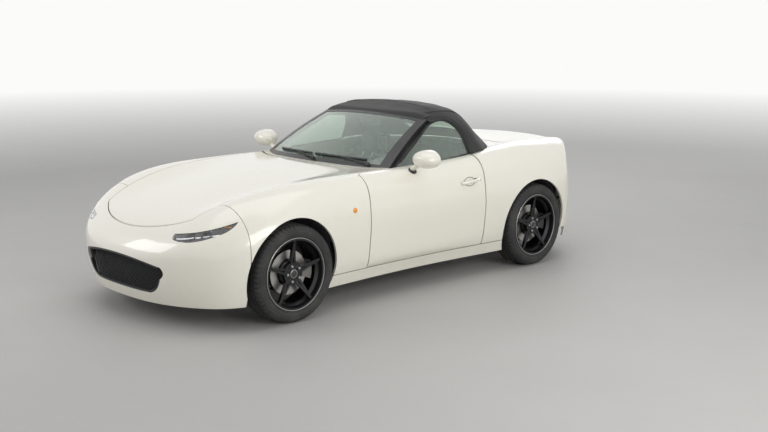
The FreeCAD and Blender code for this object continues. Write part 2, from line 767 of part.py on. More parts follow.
def make_rear_bumper():
    rays = ray_fan(tail_stations(), spread(-33, 44, 11), lower_height)
    shell = skin_patch(body_skin, rays, skin_thickness)
    high = box(-1000, 1000, tail_split_y + shut_gap, tail_y + 60, 160, 640)
    shell = shell.common(high).cut([rear_arch, mirrored(rear_arch), boot_cut])
    face = tail_y - plate_recess
    shell = shell.cut(box(-268, 268, face, tail_y + 60, plate_height - 64, plate_height + 64))
    pad = box(-275, 275, face - 12, face, plate_height - 70, plate_height + 70)
    holes = [rod(V(x, face - 40, plate_height), V(x, face + 5, plate_height), plate_hole_radius)
             for x in (-plate_hole_spacing / 2, plate_hole_spacing / 2)]
    back = tail_y + 50
    first, last = min(tip_places), max(tip_places)
    tips = [rod(V(x, tail_split_y, tip_height), V(x, back, tip_height), tip_radius + 12) for x in tip_places]
    between = box(first, last, tail_split_y, back, tip_height - 80, tip_height + 50)
    below = box(first - 50, last + 50, tail_split_y, back, 0, tip_height)
    return shell.fuse(pad).cut(holes).cut(tips + [between, below])


def make_deck():
    """Fixed panel between the hood's foot and the boot lid."""
    xs = spread(-640, 640, 13)
    rays = rays_up(xs, spread(bulkhead_y, boot_front_y + 20, 8), 500.0)
    shell = skin_patch(body_skin, rays, skin_thickness)
    shell = shell.common(box(-deck_half_x, deck_half_x, bulkhead_y + 10, boot_front_y - lid_gap, 400, 1100))
    return largest(shell.cut(plan_prism(deck_opening(), 0.0, 380, 1100)))


# Windscreen surface: s runs across from -1 to 1 and t from the base to the top
def screen_point(s, t):
    base = V(653 * s, screen_base_y + 2 + 183 * s * s, 866 - 22 * s * s)
    top = V(532 * s, screen_top_y - 3 + 74 * s * s, roof_height - 58 - 36 * s * s)
    mid = base + (top - base) * t
    return mid + V(0, -0.55, 0.83) * (16 * 4 * t * (1 - t))


def screen_normal(s, t):
    d = 0.01
    a = screen_point(s + d, t) - screen_point(s - d, t)
    b = screen_point(s, t + d) - screen_point(s, t - d)
    return a.cross(b).normalize()


def screen_patch(s0, s1, t0, t1, raised, thickness, rows=13):
    outer, inner = [], []
    for s in spread(s0, s1, rows):
        outer.append([screen_point(s, t) + screen_normal(s, t) * raised for t in spread(t0, t1, 9)])
        inner.append([screen_point(s, t) - screen_normal(s, t) * thickness for t in spread(t0, t1, 9)])
    return thick_patch(outer, inner)


glass_s, glass_t0, glass_t1 = 0.895, 0.05, 0.93


def make_screen():
    frame = screen_patch(-1, 1, -0.04, 1.0, 0.0, 36.0)
    opening = screen_patch(-glass_s, glass_s, glass_t0, glass_t1, 40.0, 80.0)
    glass = screen_patch(-glass_s + 0.0005, glass_s - 0.0005, glass_t0 + 0.0006, glass_t1 - 0.0006, -3.0,
                         3.0 + glass_thickness)
    return frame.cut(opening), glass


# Side window outline: front edge behind the windscreen pillar, top under the hood, rear edge upright
def rail_line(drop, rear):
    """The curve over the side window, a little lower for the glass than for the hood."""
    return [(screen_top_y + 62, roof_height - 121 - drop), (screen_top_y + 140, roof_height - 107 - drop),
            (screen_top_y + 220, roof_height - 109 - drop),
            (door_rear_y - 74 - rear, roof_height - 142 - drop),
            (door_rear_y - 22 - rear, roof_height - 226)]


def window_outline():
    waist = door_top_z(0) - 12
    rail = rail_line(6.0, 6.0)
    front_low = (screen_base_y + 226, waist)
    return [[front_low, rail[0]], rail, [rail[-1], (door_rear_y - 14, waist)],
            [(door_rear_y - 14, waist), front_low]]


def hood_lower_line():
    """Side view of the hood's lower edge, from the windscreen's corner round the side window to the deck."""
    waist = door_top_z(0) - 12
    rail = rail_line(0.0, 0.0)
    front = (screen_top_y - 300, roof_height - 110)
    return [[front, rail[0]], rail, [rail[-1], (door_rear_y - 6, waist + 30)],
            [(door_rear_y - 6, waist + 30), (door_rear_y + 8, waist + 30)],
            [(door_rear_y + 8, waist + 30), (door_rear_y + 8, waist - 120)],
            [(door_rear_y + 8, waist - 120), (front[0], waist - 120)], [(front[0], waist - 120), front]]


def rear_window_runs(grow=0.0):
    x0, x1 = 365 + grow, 330 + grow
    y0, y1 = rear_axle_y - 345 - grow, rear_axle_y - 135 + grow
    r = 45.0
    return [[(-x0 + r, y0), (x0 - r, y0)], [(x0 - r, y0), (x0 - r * 0.29, y0 + r * 0.29), (x0, y0 + r)],
            [(x0, y0 + r), (x1, y1 - r)], [(x1, y1 - r), (x1 - r * 0.29, y1 - r * 0.29), (x1 - r, y1)],
            [(x1 - r, y1), (-x1 + r, y1)], [(-x1 + r, y1), (-x1 + r * 0.29, y1 - r * 0.29), (-x1, y1 - r)],
            [(-x1, y1 - r), (-x0, y0 + r)], [(-x0, y0 + r), (-x0 + r * 0.29, y0 + r * 0.29), (-x0 + r, y0)]]


def hood_grid(thickness, raised=0.0):
    stations = [(0.0, y, 0.0) for y in spread(screen_top_y - 40, rear_axle_y + 10, 18)]
    grid = ray_fan(stations, spread(-14, 194, 27), 830.0)
    return skin_patch(hood_skin, grid, thickness, raised)


def make_hood():
    """The fabric top, closed: one curved cover with its rear window opening."""
    cover = hood_grid(hood_thickness)
    front = plan_prism([[(-900, screen_top_y - 400), (900, screen_top_y - 400)],
                        [(900, screen_top_y - 400), (900, screen_top_y + 2 + 74 * (900 / 532.0) ** 2)],
                        [(x, screen_top_y + 2 + 74 * (x / 532.0) ** 2) for x in (900, 600, 300, 0, -300, -600,
                                                                                  -900)],
                        [(-900, screen_top_y + 2 + 74 * (900 / 532.0) ** 2), (-900, screen_top_y - 400)]],
                       0.0, 600, 1500)
    side = prism([[V(-1000, y, z) for y, z in run] for run in hood_lower_line()], V(2000, 0, 0))
    xs = spread(-800, 800, 17)
    ground = skin_patch(body_skin, rays_up(xs, spread(door_rear_y - 10, boot_front_y + 60, 12), 500.0),
                        260.0, 1.2)
    window = plan_prism(rear_window_runs(), 0.0, 800, 1400)
    header = screen_patch(-1.003, 1.003, 0.5, 1.004, 1.0, 37.0)
    return largest(cover.cut([front, side, header]).cut(ground).cut(window))


def make_rear_window():
    pane = hood_grid(hood_thickness - 5.0, -5.0)
    return pane.common(plan_prism(rear_window_runs(-0.4), 0.0, 800, 1400))


def make_side_glass():
    """Left door window: a pane that follows the side of the hood and stands in the door."""
    outer, inner = [], []
    for y in spread(screen_base_y + 150, door_rear_y + 10, 12):
        row = []
        for z in spread(door_top_z(0) - 90, roof_height - 60, 8):
            tuck = 15.0 + 8 * ((z - 970) / 150.0) ** 2 + 12 * (1 - blend_step(y, -170.0, 150.0))
            row.append(V(hood_side_x(y, z) - tuck, y, z))
        outer.append(row)
        inner.append([p - V(glass_thickness, 0, 0) for p in row])
    pane = thick_patch(outer, inner).common(side_prism(window_outline()))
    xs = spread(600, 760, 9)
    ground = skin_patch(body_skin, rays_up(xs, spread(screen_base_y + 150, door_rear_y + 10, 12), 500.0),
                        260.0, 2 * seat_clearance)
    return largest(pane.cut(ground))


def make_cowl():
    """Panel between the bonnet and the windscreen, cut round the foot of the windscreen frame."""
    xs = spread(-690, 690, 17)
    rays = rays_up(xs, spread(bonnet_rear_y - 40, screen_base_y + 250, 8), 500.0)
    shell = skin_patch(body_skin, rays, skin_thickness)
    x = cowl_half_x
    shell = shell.common(box(-x, x, bonnet_rear_y - 40, screen_base_y + 226, 400, 1100))
    shifted = [[(a, b + cowl_gap - shut_gap) for a, b in run] for run in bonnet_outline()]
    foot = screen_patch(-1.003, 1.003, -0.08, 0.3, 0.3, 36.3)
    inside = [[(-x - 20, screen_base_y + 60 + 150 * 1.06), (-x * 0.5, screen_base_y + 60 + 150 * 0.25),
               (0, screen_base_y + 60), (x * 0.5, screen_base_y + 60 + 150 * 0.25),
               (x + 20, screen_base_y + 60 + 150 * 1.06)],
              [(x + 20, screen_base_y + 60 + 150 * 1.06), (x + 20, screen_base_y + 400)],
              [(x + 20, screen_base_y + 400), (-x - 20, screen_base_y + 400)],
              [(-x - 20, screen_base_y + 400), (-x - 20, screen_base_y + 60 + 150 * 1.06)]]
    shell = shell.cut([plan_prism(shifted, shut_gap, 380, 1100), plan_prism(inside, 0.0, 380, 1100)])
    return largest(shell.cut([foot] + [wiper_spindle(s, 14.0, -60.0, 60.0) for s in wiper_pivots]))


# Places of the parts below the panels
mirror_y = screen_base_y + 327.0
firewall_y = door_front_y - 22.0
floor_z = sill_bottom - 2.0
tunnel_x = 140.0
tunnel_top = 420.0
wall = 15.0
boot_floor_z = 400.0
boot_wall_x = 562.0
boot_wall_y = boot_front_y - 112.0
boot_back_y = tail_y - 205.0
scuttle_rear_y = bonnet_hinge_y + 60.0
ledge_z = 812.0
cowl_shelf_z = 745.0
seat_x = 378.0
seat_half_width = 222.0
front_liner_radius = 358.0
rear_liner_radius = 352.0


def liner(axle_y, radius, inner_x, wall_x):
    """Wheel housing of the left side: a round shell closed on its inner side and open below."""
    outer = rod(V(wall_x, axle_y, axle_height), V(792, axle_y, axle_height), radius + 4)
    inner = rod(V(inner_x, axle_y, axle_height), V(800, axle_y, axle_height), radius)
    shell = outer.cut(inner)
    ends = [box(770, 1000, axle_y - 500, axle_y - 325, 0, 500),
            box(770, 1000, axle_y + 325, axle_y + 500, 0, 500)]
    return shell.cut(ends + [box(0, 1000, axle_y - 500, axle_y + 500, -200, 240)])


def skin_cutter(rays):
    """Everything outside the underside of the panels, round the given rays."""
    return skin_patch(body_skin, rays, skin_thickness + seat_clearance, 90.0)


def fan(xs, ys, zs, way):
    """A grid of parallel rays: the two lists with more than one value are its rows and columns."""
    starts = [[V(x, y, z) for x in xs for z in zs] for y in ys]
    return [[(start, way) for start in row] for row in starts]


def panel_brackets():
    """Left brackets of the shell that the outer panels stand on, each cut to the underside of its panel."""
    out, ahead, behind, up = V(1, 0, 0), V(0, -1, 0), V(0, 1, 0), V(0, 0, 1)
    y = firewall_y - 12
    wing = box(745, 860, y - 8, y + 8, 420, 690)
    wing = wing.cut(skin_cutter(fan([600], [y - 30, y, y + 30], spread(390, 720, 5), out)))
    y = door_rear_y + 30
    quarter_stay = box(766, 860, y - 8, y + 8, 420, 690)
    quarter_stay = quarter_stay.cut(skin_cutter(fan([600], [y - 30, y, y + 30], spread(390, 720, 5), out)))
    nose = box(300, 340, nose_y - 10, nose_y + 270, 500, 528)
    nose = nose.cut(skin_cutter([[(V(x, nose_y + 400, z), ahead) for x in (270, 320, 370)]
                                 for z in (470, 514, 558)]))
    tail = box(440, 480, boot_back_y + 6, tail_y - 60, 480, 508)
    tail = tail.cut(skin_cutter([[(V(x, tail_y - 400, z), behind) for x in (410, 460, 510)]
                                 for z in (450, 494, 538)]))
    arm = box(641.5, post_x, hinge_y, screen_base_y + 155, 700, 738)
    foot = box(641.5, post_x, screen_base_y + 127, screen_base_y + 155, 700, 900)
    ahead = spread(screen_base_y + 90, screen_base_y + 190, 3)
    foot = foot.cut(skin_cutter(fan([600, 645, 690], ahead, [500], up)))
    foot = foot.cut(screen_patch(-1.003, 1.003, -0.08, 0.3, 0.3, 36.3))
    return [wing, quarter_stay, nose, tail, arm, foot]


def make_tub():
    """Floor, tunnel, bulkheads, engine bay sides, wheel housings and boot well as one pressed shell."""
    edge = sill_inner_x - seat_clearance
    floor = box(-edge, edge, firewall_y - 20, bulkhead_y + 25, floor_z, floor_z + 25)
    tunnel = box(-tunnel_x, tunnel_x, firewall_y - 20, bulkhead_y + 25, floor_z, tunnel_top)
    firewall = box(-648, 648, firewall_y - 20, firewall_y, sill_top + 8, cowl_shelf_z)
    firewall = firewall.fuse(box(-edge, edge, firewall_y - 20, firewall_y, floor_z, sill_top + 10))
    bulkhead = box(-edge, edge, bulkhead_y, bulkhead_y + 25, floor_z, 780)
    shelf = box(-boot_wall_x, boot_wall_x, bulkhead_y, boot_wall_y + 12, 620, 635)
    boot_floor = box(-boot_wall_x, boot_wall_x, boot_wall_y, boot_back_y + 12,
                     boot_floor_z, boot_floor_z + 12)
    boot_front = box(-boot_wall_x, boot_wall_x, boot_wall_y, boot_wall_y + 12, boot_floor_z, ledge_z)
    boot_back = box(-boot_wall_x + 40, boot_wall_x - 40, boot_back_y, boot_back_y + 12, boot_floor_z, 620)
    ledge = box(-boot_wall_x, boot_wall_x, boot_wall_y, boot_front_y + 8, ledge_z - 12, ledge_z)
    scuttle = box(-648, 648, firewall_y - 20, scuttle_rear_y, cowl_shelf_z - 12, cowl_shelf_z)
    parts = [floor, tunnel, firewall, scuttle, bulkhead, shelf, boot_floor, boot_front, boot_back, ledge]
    parts.append(box(-455, 455, nose_y + 262, nose_y + 280, 200, 560))
    for low in (-boot_hinge_x - 32, boot_hinge_x - 10):
        parts.append(box(low, low + 42, boot_front_y, boot_hinge_y + 32, ledge_z - 12, ledge_z))
    for side in (1, -1):
        apron = box(455, 470, nose_y + 262, firewall_y - 10, 300, 640)
        post = box(620, post_x, firewall_y - 20, hinge_y + 40, floor_z + 85, 780)
        shield = box(post_x - 10, 755, firewall_y - 20, firewall_y - 4, sill_top + 8, 700)
        rear_post = box(edge - 10, 776, door_rear_y + 22, door_rear_y + 38, sill_top + 8, 700)
        trim = box(edge - 16, edge, door_rear_y + 22, bulkhead_y + 10, floor_z + 85, 780)
        boot_side = box(boot_wall_x - 12, boot_wall_x, boot_wall_y, boot_back_y - 70, boot_floor_z, 690)
        boot_top = box(boot_wall_x - 12, boot_wall_x, boot_wall_y, boot_front_y + 8, 690, ledge_z)
        front_housing = liner(front_axle_y, front_liner_radius, 470, 460)
        rear_housing = liner(rear_axle_y, rear_liner_radius, boot_wall_x + 20, boot_wall_x - 6)
        both = [apron, post, shield, rear_post, trim, boot_side, boot_top, front_housing, rear_housing]
        parts.extend(both if side > 0 else [mirrored(part) for part in both])
    for bracket in panel_brackets():
        parts.extend([bracket, mirrored(bracket)])
    y = boot_front_y - 30
    deck_stay = box(-180, 180, y - 6, y + 6, ledge_z - 2, 900)
    parts.append(deck_stay.cut(skin_cutter(rays_up([-220, 0, 220], [y - 30, y, y + 30], 500.0))))
    parts.append(box(-270, -230, rear_axle_y + 400, rear_axle_y + 440,
                     345 + seat_clearance, boot_floor_z + 2))
    tub = parts[0].fuse(parts[1:])
    tools = [box(-tunnel_x + wall, tunnel_x - wall, firewall_y - 30, bulkhead_y + 40, 0, tunnel_top - wall)]
    for side in (1, -1):
        way = box(400, 480, front_axle_y - 170, front_axle_y + 170, 0, 560)
        shaft = box(boot_wall_x - 30, boot_wall_x + 30, rear_axle_y - 150, rear_axle_y + 150, 0, boot_floor_z)
        tools.extend([way, shaft] if side > 0 else [mirrored(way), mirrored(shaft)])
    return tub.cut(tools)


def revolved(profile):
    """Turns a closed profile of (radius, x) points about the X axis."""
    points = [V(x, r, 0) for r, x in profile]
    wire = Part.makePolygon(points + [points[0]])
    return Part.Face(wire).revolve(V(0, 0, 0), V(1, 0, 0), 360)


def make_tyre():
    """Tyre on its beads: flanks that bulge, a flat tread with rounded shoulders, hollow inside."""
    half = [(bead_radius + 0.5, 74), (bead_radius + 0.5, 88.5), (flange_radius + 1, 88.6),
            (252, tyre_width / 2), (280, 100), (300, 84), (tyre_radius, 52)]
    cavity = [(298, 40), (272, 90), (234, 84)]
    outer = half + [(r, -x) for r, x in reversed(half)]
    inner = [(r, -x) for r, x in reversed(cavity)] + cavity
    return revolved(outer + inner)


def make_rim():
    """Wheel rim with five twin spokes, its hub and the brake disc bolted behind it; outboard is +X."""
    half = [(flange_radius, rim_half_width), (flange_radius, 89), (bead_radius, 88.8), (bead_radius, 60),
            (201, 48)]
    under = [(192, 42), (206, 60), (212, rim_half_width)]
    outer = half + [(r, -x) for r, x in reversed(half)]
    inner = [(r, -x) for r, x in reversed(under)] + under
    barrel = revolved(outer + inner)
    dish = revolved([(24, wheel_offset), (75, wheel_offset), (209, 62), (212, 82), (75, 66), (24, 60)])
    bars = []
    for k in range(spoke_pairs):
        for lean in (-1, 1):
            bar = box(0, 100, -8, 8, 40, 214)
            bar.rotate(V(0, 0, 40), V(1, 0, 0), lean * 6.0)
            bar.translate(V(0, lean * 16.0, 0))
            bar.rotate(V(0, 0, 0), V(1, 0, 0), 360.0 / spoke_pairs * k)
            bars.append(bar)
    spokes = dish.common(bars[0].fuse(bars[1:]))
    centre = rod(V(44, 0, 0), V(64, 0, 0), 70)
    hat = revolved([(18, 14), (80, 14), (80, 45), (72, 45), (72, 24), (40, 24), (40, 45), (18, 45)])
    disc = revolved([(18, -10), (140, -10), (140, 14), (18, 14)])
    disc = disc.cut(rod(V(-12, 0, 0), V(40, 0, 0), 45))
    bearing = revolved([(18, -28), (52, -28), (52, 45), (18, 45)])
    return joined([barrel, spokes, centre, hat, disc, bearing])


def caliper(angle):
    """Brake caliper on the wheel axis, outboard +X: a block over the disc's edge."""
    block = revolved([(96, -44), (170, -44), (170, 36), (96, 36)])
    block = block.cut(revolved([(90, -17), (147, -17), (147, 21), (90, 21)]))
    sector = prism([[V(-60, 0, 0), V(-60, 320, -120)], [V(-60, 320, -120), V(-60, 320, 120)],
                    [V(-60, 320, 120), V(-60, 0, 0)]], V(120, 0, 0))
    block = block.common(sector)
    block.rotate(V(0, 0, 0), V(1, 0, 0), angle)
    return block


kingpin = V(-math.sin(math.radians(kingpin_lean)), 0, math.cos(math.radians(kingpin_lean)))
kingpin_foot = V(-kingpin_inboard, 0, 0)


def make_knuckle():
    """Left front upright about its wheel centre: kingpin, stub axle, caliper and steering arm."""
    post = rod(kingpin_foot - kingpin * 112, kingpin_foot + kingpin * 160, 20)
    boss = rod(V(-90, 0, 0), V(-34, 0, 0), 40)
    stub = rod(V(-60, 0, 0), V(40, 0, 0), 17.95)
    lug = box(-90, -44, 20, 110, -22, 22)
    arm = box(-96, -76, -120, 0, -34, -10)
    body = joined([post, boss, stub, lug, arm, caliper(0)])
    for end, way in ((-112, 1), (160, -1)):
        p = kingpin_foot + kingpin * end
        body = body.cut(rod(p, p + kingpin * (way * 20), 8.3))
    return body


def make_front_suspension():
    """Cross member with lower wishbones, upper wishbones and dampers."""
    centre = V(front_track / 2, front_axle_y, axle_height)
    member = box(-335, 335, front_axle_y - 60, front_axle_y + 60, 152, 196)
    rails = [box(x - 30, x + 30, front_axle_y - 150, front_axle_y + 150, 160, 196) for x in (-320, 320)]
    lowers, uppers = [], []
    p = centre + kingpin_foot - kingpin * 112.3
    eye = rod(p, p - kingpin * 24, 19)
    pin = rod(p - kingpin * 2, p + kingpin * 17, 8)
    q = p - kingpin * 14
    arms = [rod(V(330, front_axle_y + y, 178), V(q.x - 10, q.y, q.z), 9) for y in (-125, 125)]
    lowers.append(joined([eye, pin] + arms))
    p = centre + kingpin_foot + kingpin * 160.3
    eye = rod(p, p + kingpin * 20, 18)
    pin = rod(p + kingpin * 2, p - kingpin * 17, 8)
    q = p + kingpin * 10
    arms = [rod(V(425, front_axle_y + y, 500), V(q.x - 8, q.y, q.z), 9) for y in (-105, 105)]
    pivot = rod(V(425, front_axle_y - 120, 500), V(425, front_axle_y + 120, 500), 12)
    uppers.append(joined([eye, pin, pivot] + arms))
    damper = rod(V(520, front_axle_y, 205), V(520, front_axle_y, 664), 26)
    lowers.append(damper)
    foot = box(500, 540, front_axle_y - 70, front_axle_y + 70, 180, 206)
    lowers.append(foot)
    low = member.fuse(rails + lowers + [mirrored(s) for s in lowers])
    return [low] + uppers + [mirrored(s) for s in uppers]


def make_rear_suspension():
    centre = V(rear_track / 2, rear_axle_y, axle_height)
    member = box(-335, 335, rear_axle_y - 60, rear_axle_y + 60, 160, 204)
    upright = rod(V(-84, 0, 0), V(-36, 0, 0), 62).fuse(box(-84, -44, -30, 110, -24, 24))
    upright = joined([upright, box(-84, -50, -40, 40, -130, 0), box(-84, -56, -30, 30, 0, 150), caliper(0)])
    upright = upright.cut(rod(V(-100, 0, 0), V(0, 0, 0), 31))
    upright.translate(centre)
    arms = [rod(V(330, rear_axle_y + y, 180), V(centre.x - 70, rear_axle_y + y * 0.3, 190), 13)
            for y in (-60, 50)]
    inner_end = boot_wall_x + 20 + seat_clearance
    upper = rod(V(centre.x - 70, rear_axle_y, 445), V(inner_end, rear_axle_y, 445), 11)
    spring = rod(V(470, rear_axle_y - 170, 180), V(470, rear_axle_y - 170, 399.5), 40)
    perch = box(330, 560, rear_axle_y - 200, rear_axle_y - 140, 165, 200)
    link = box(330, 360, rear_axle_y - 200, rear_axle_y, 165, 200)
    side = [upright, upper, spring, perch, link] + arms
    return member.fuse(side + [mirrored(s) for s in side])


def make_engine():
    block = box(-190, 190, front_axle_y + 40, firewall_y - 60, 196.5, 610)
    return block


def make_driveline():
    """Gearbox, propeller shaft and differential in one line."""
    y0 = firewall_y - 60
    gearbox = rod(V(0, y0 + seat_clearance, 290), V(0, y0 + 420, 290), 105)
    shaft = rod(V(0, y0 + 400, 290), V(0, rear_axle_y - 110, 300), 34)
    differential = box(-105, 105, rear_axle_y - 130, rear_axle_y + 110, 204.5, 380)
    return joined([gearbox, shaft, differential])


def make_half_shaft():
    """Left rear half shaft: differential to hub."""
    inner_x = 105 + seat_clearance
    outer_x = rear_track / 2 - 28.5
    bar = rod(V(inner_x, rear_axle_y, axle_height), V(outer_x, rear_axle_y, axle_height), 14)
    cup = rod(V(inner_x, rear_axle_y, axle_height), V(inner_x + 70, rear_axle_y, axle_height), 42)
    stub = rod(V(outer_x - 90, rear_axle_y, axle_height), V(outer_x, rear_axle_y, axle_height), 26)
    spline = rod(V(outer_x - 1, rear_axle_y, axle_height), V(outer_x + 60, rear_axle_y, axle_height), 17.7)
    return joined([bar, cup, stub, spline])


def make_exhaust():
    z = 250.0
    points = [V(-98, firewall_y - 50, 182), V(-98, bulkhead_y + 60, 182), V(-230, rear_axle_y - 200, z),
              V(-230, rear_axle_y + 260, z)]
    pipes = [rod(a, b, 23) for a, b in zip(points, points[1:])]
    pipes += [Part.makeSphere(23, p) for p in points[1:-1]]
    silencer = box(-440, -60, rear_axle_y + 250, rear_axle_y + 600, 195, 345)
    end_y = rear_y(sum(tip_places) / len(tip_places), tip_height) + 6.0
    tips = [rod(V(x, rear_axle_y + 590, tip_height), V(x, end_y, tip_height), tip_radius,
                tip_radius - 4) for x in tip_places]
    tips += [rod(V(x, rear_axle_y + 590, tip_height), V(x, rear_axle_y + 640, tip_height), tip_radius)
             for x in tip_places]
    return joined(pipes + [silencer] + tips)


def make_dashboard():
    """Instrument board behind the scuttle, with its top board reaching forward under the glass."""
    low, high = 520.0, 800.0
    front, rear = scuttle_rear_y + seat_clearance, firewall_y + 450.0
    runs = [[(front, low + 30), (rear - 140, low)],
            [(rear - 140, low), (rear - 15, low + 60), (rear, high - 110)],
            [(rear, high - 110), (rear - 50, high - 28), (rear - 120, high)],
            [(rear - 120, high), (front, high - 2)], [(front, high - 2), (front, low + 30)]]
    body = side_prism(runs, 0.0, -sill_inner_x, sill_inner_x)
    reach = 430.0
    edge = [(x, front - 80 + 80 * (x / reach) ** 2) for x in spread(-reach, reach, 7)]
    board = plan_prism([edge, [edge[-1], (reach, front + 20)], [(reach, front + 20), (-reach, front + 20)],
                        [(-reach, front + 20), edge[0]]], 0.0, cowl_shelf_z + seat_clearance, high - 2)
    x, y, z = wheel_hub
    socket = rod(V(x, y, z) - column_way * 120, V(x, y, z) - column_way * 400, 24 + seat_clearance)
    return joined([body, board]).cut(socket)


# Steering column: the wheel's centre and the way the column points, up towards the driver
column_lean = 24.0
column_way = V(0, math.cos(math.radians(column_lean)), math.sin(math.radians(column_lean)))
wheel_hub = (seat_x, firewall_y + 590.0, 735.0)


def make_steering_wheel():
    x, y, z = wheel_hub
    centre = V(x, y, z)
    rim = Part.makeTorus(170, 15, centre, column_way)
    up = V(0, -math.sin(math.radians(column_lean)), math.cos(math.radians(column_lean)))
    hub = rod(centre - column_way * 45, centre - column_way * 8, 62)
    column = rod(centre - column_way * 300, centre - column_way * 40, 24)
    spokes = []
    for angle in (0, 180, 270):
        a = math.radians(angle)
        way = V(1, 0, 0) * math.cos(a) + up * math.sin(a)
        spokes.append(rod(centre - column_way * 22, centre + way * 166, 10))
    return joined([rim, hub, column] + spokes)


def make_seat():
    """One seat: base, cushion, reclined back and headrest."""
    y = door_rear_y - 611.0
    base = box(seat_x - 190, seat_x + 190, y + 40, y + 420, floor_z + 25 + seat_clearance, floor_z + 90)
    cushion = side_prism([[(y, 235), (y + 470, 235)], [(y + 470, 235), (y + 480, 330)],
                          [(y + 480, 330), (y + 240, 322), (y + 30, 356)],
                          [(y + 30, 356), (y, 340)], [(y, 340), (y, 235)]],
                         0.0, seat_x - seat_half_width, seat_x + seat_half_width)
    back = side_prism([[(y + 400, 270), (y + 505, 270)], [(y + 505, 270), (y + 600, 560), (y + 650, 800)],
                       [(y + 650, 800), (y + 560, 800)], [(y + 560, 800), (y + 480, 560), (y + 400, 270)]],
                      0.0, seat_x - seat_half_width + 4, seat_x + seat_half_width - 4)
    rest = side_prism([[(y + 555, 780), (y + 640, 780)], [(y + 640, 780), (y + 668, 960)],
                       [(y + 668, 960), (y + 600, 960)], [(y + 600, 960), (y + 555, 780)]],
                      0.0, seat_x - 120, seat_x + 120)
    return joined([base, cushion, back, rest])


def make_console():
    y0, y1 = firewall_y + 456, bulkhead_y - seat_clearance
    body = box(-105, 105, y0, y1, tunnel_top + seat_clearance, tunnel_top + 130)
    lever = rod(V(0, y0 + 130, tunnel_top + 120), V(0, y0 + 110, tunnel_top + 235), 9)
    knob = Part.makeSphere(24, V(0, y0 + 108, tunnel_top + 245))
    return joined([body, lever, knob])


def make_hoops():
    """A roll hoop behind each seat, standing on the bulkhead."""
    parts = []
    y, z0, z1, half = bulkhead_y + 13.0, 780.0 + seat_clearance, 925.0, 105.0
    for x in (seat_x, -seat_x):
        legs = [rod(V(x + dx, y, z0), V(x + dx, y, z1), 12) for dx in (-half, half)]
        bar = rod(V(x - half, y, z1), V(x + half, y, z1), 12)
        ends = [Part.makeSphere(12, V(x + dx, y, z1)) for dx in (-half, half)]
        parts.append(joined(legs + [bar] + ends))
    return parts


wiper_pivots = (0.12, 0.80)


def wiper_spindle(pivot, radius, low, high):
    """A round bar square to the glass at a wiper's pivot."""
    foot, way = screen_point(pivot, 0.02), screen_normal(pivot, 0.02)
    return rod(foot + way * low, foot + way * high, radius)


def make_wipers():
    """Two wipers at rest along the foot of the glass: a curved blade and its arm."""
    parts = []
    for s0, s1, pivot in ((-0.62, 0.02, wiper_pivots[0]), (0.08, 0.74, wiper_pivots[1])):
        outer, inner = [], []
        for s in spread(s0, s1, 9):
            outer.append([screen_point(s, t) + screen_normal(s, t) * 13.0 for t in (0.085, 0.095, 0.105)])
            inner.append([screen_point(s, t) + screen_normal(s, t) * 0.3 for t in (0.085, 0.095, 0.105)])
        foot = screen_point(pivot, 0.02)
        way = screen_normal(pivot, 0.02)
        hub = wiper_spindle(pivot, 11.0, seat_clearance, 22.0)
        middle = (s0 + s1) / 2
        end = screen_point(middle, 0.095) + screen_normal(middle, 0.095) * 11.0
        parts.append(joined([thick_patch(outer, inner), hub, rod(foot + way * 15, end, 5)]))
    return parts


def make_mirror():
    """Left door mirror: a rounded shell, open flat at the back, on a short arm that stands on the door."""
    half_width, half_height, depth = 98.0, 62.0, 78.0
    back = 40.0
    rim = half_height
    nose = Part.BSplineCurve()
    tip, lip, middle = V(0, -depth, 0), V(rim, back, 0), V(0, back, 0)
    nose.interpolate([tip, V(rim * 0.62, -depth * 0.84, 0), V(rim * 0.95, -depth * 0.3, 0), lip])
    edges = [nose.toShape(), Part.makeLine(lip, middle), Part.makeLine(middle, tip)]
    shell = Part.Face(Part.Wire(edges)).revolve(V(0, 0, 0), V(0, 1, 0), 360)
    stretch = FreeCAD.Matrix()
    stretch.scale(half_width / half_height, 1.0, 1.0)
    shell = shell.transformGeometry(stretch)
    shell.translate(V(866, mirror_y, 916))
    if shell.Volume < 0:
        shell.reverse()
    foot = V(742, mirror_y - 4, 0)
    foot.z = top_z(foot.x, foot.y) - 6
    way = V(838, mirror_y, 900) - foot
    arm = Part.makeCone(20, 14, way.Length, foot, way)
    seat_face = door.copy()
    seat_face.translate(V(0, 0, seat_clearance))
    return joined([shell, largest(arm.cut(seat_face))])


door = make_door()
left_hinges = make_door_hinges()
wing = make_wing()
quarter = make_quarter()
sill = make_sill()
frame, screen = make_screen()
lamp_cover, lamp_unit = make_headlamps()
tail_lamp = make_tail_lamp()
tyre, rim, knuckle = make_tyre(), make_rim(), make_knuckle()
side_glass = make_side_glass()
mirror = make_mirror()
half_shaft = make_half_shaft()
seat = make_seat()

save("tub", make_tub())
save("front_wings", wing, mirrored(wing))
save("rear_quarters", quarter, mirrored(quarter))
save("sills", sill, mirrored(sill))
save("front_bumper", make_front_bumper())
save("rear_bumper", make_rear_bumper())
save("grille", make_grille())
save("headlamps", lamp_cover, mirrored(lamp_cover))
save("lamp_units", lamp_unit, mirrored(lamp_unit))
save("tail_lamps", tail_lamp, mirrored(tail_lamp))
save("rear_deck", make_deck())
save("cowl", make_cowl())
save("windscreen_frame", frame)
save("windscreen", screen)
save("soft_top", make_hood())
save("rear_window", make_rear_window())
save("bonnet", make_bonnet())
save("boot_lid", with_hinge_eyes(make_boot_lid(), boot_hinge_x, boot_hinge_y, boot_hinge_z, -1))
save("door_hinges", *(left_hinges + [mirrored(s) for s in left_hinges]))
save("bonnet_hinges", *make_hinge_brackets(bonnet_hinge_x, bonnet_hinge_y, bonnet_hinge_z,
                                           bonnet_hinge_y + 8, cowl_shelf_z + seat_clearance))
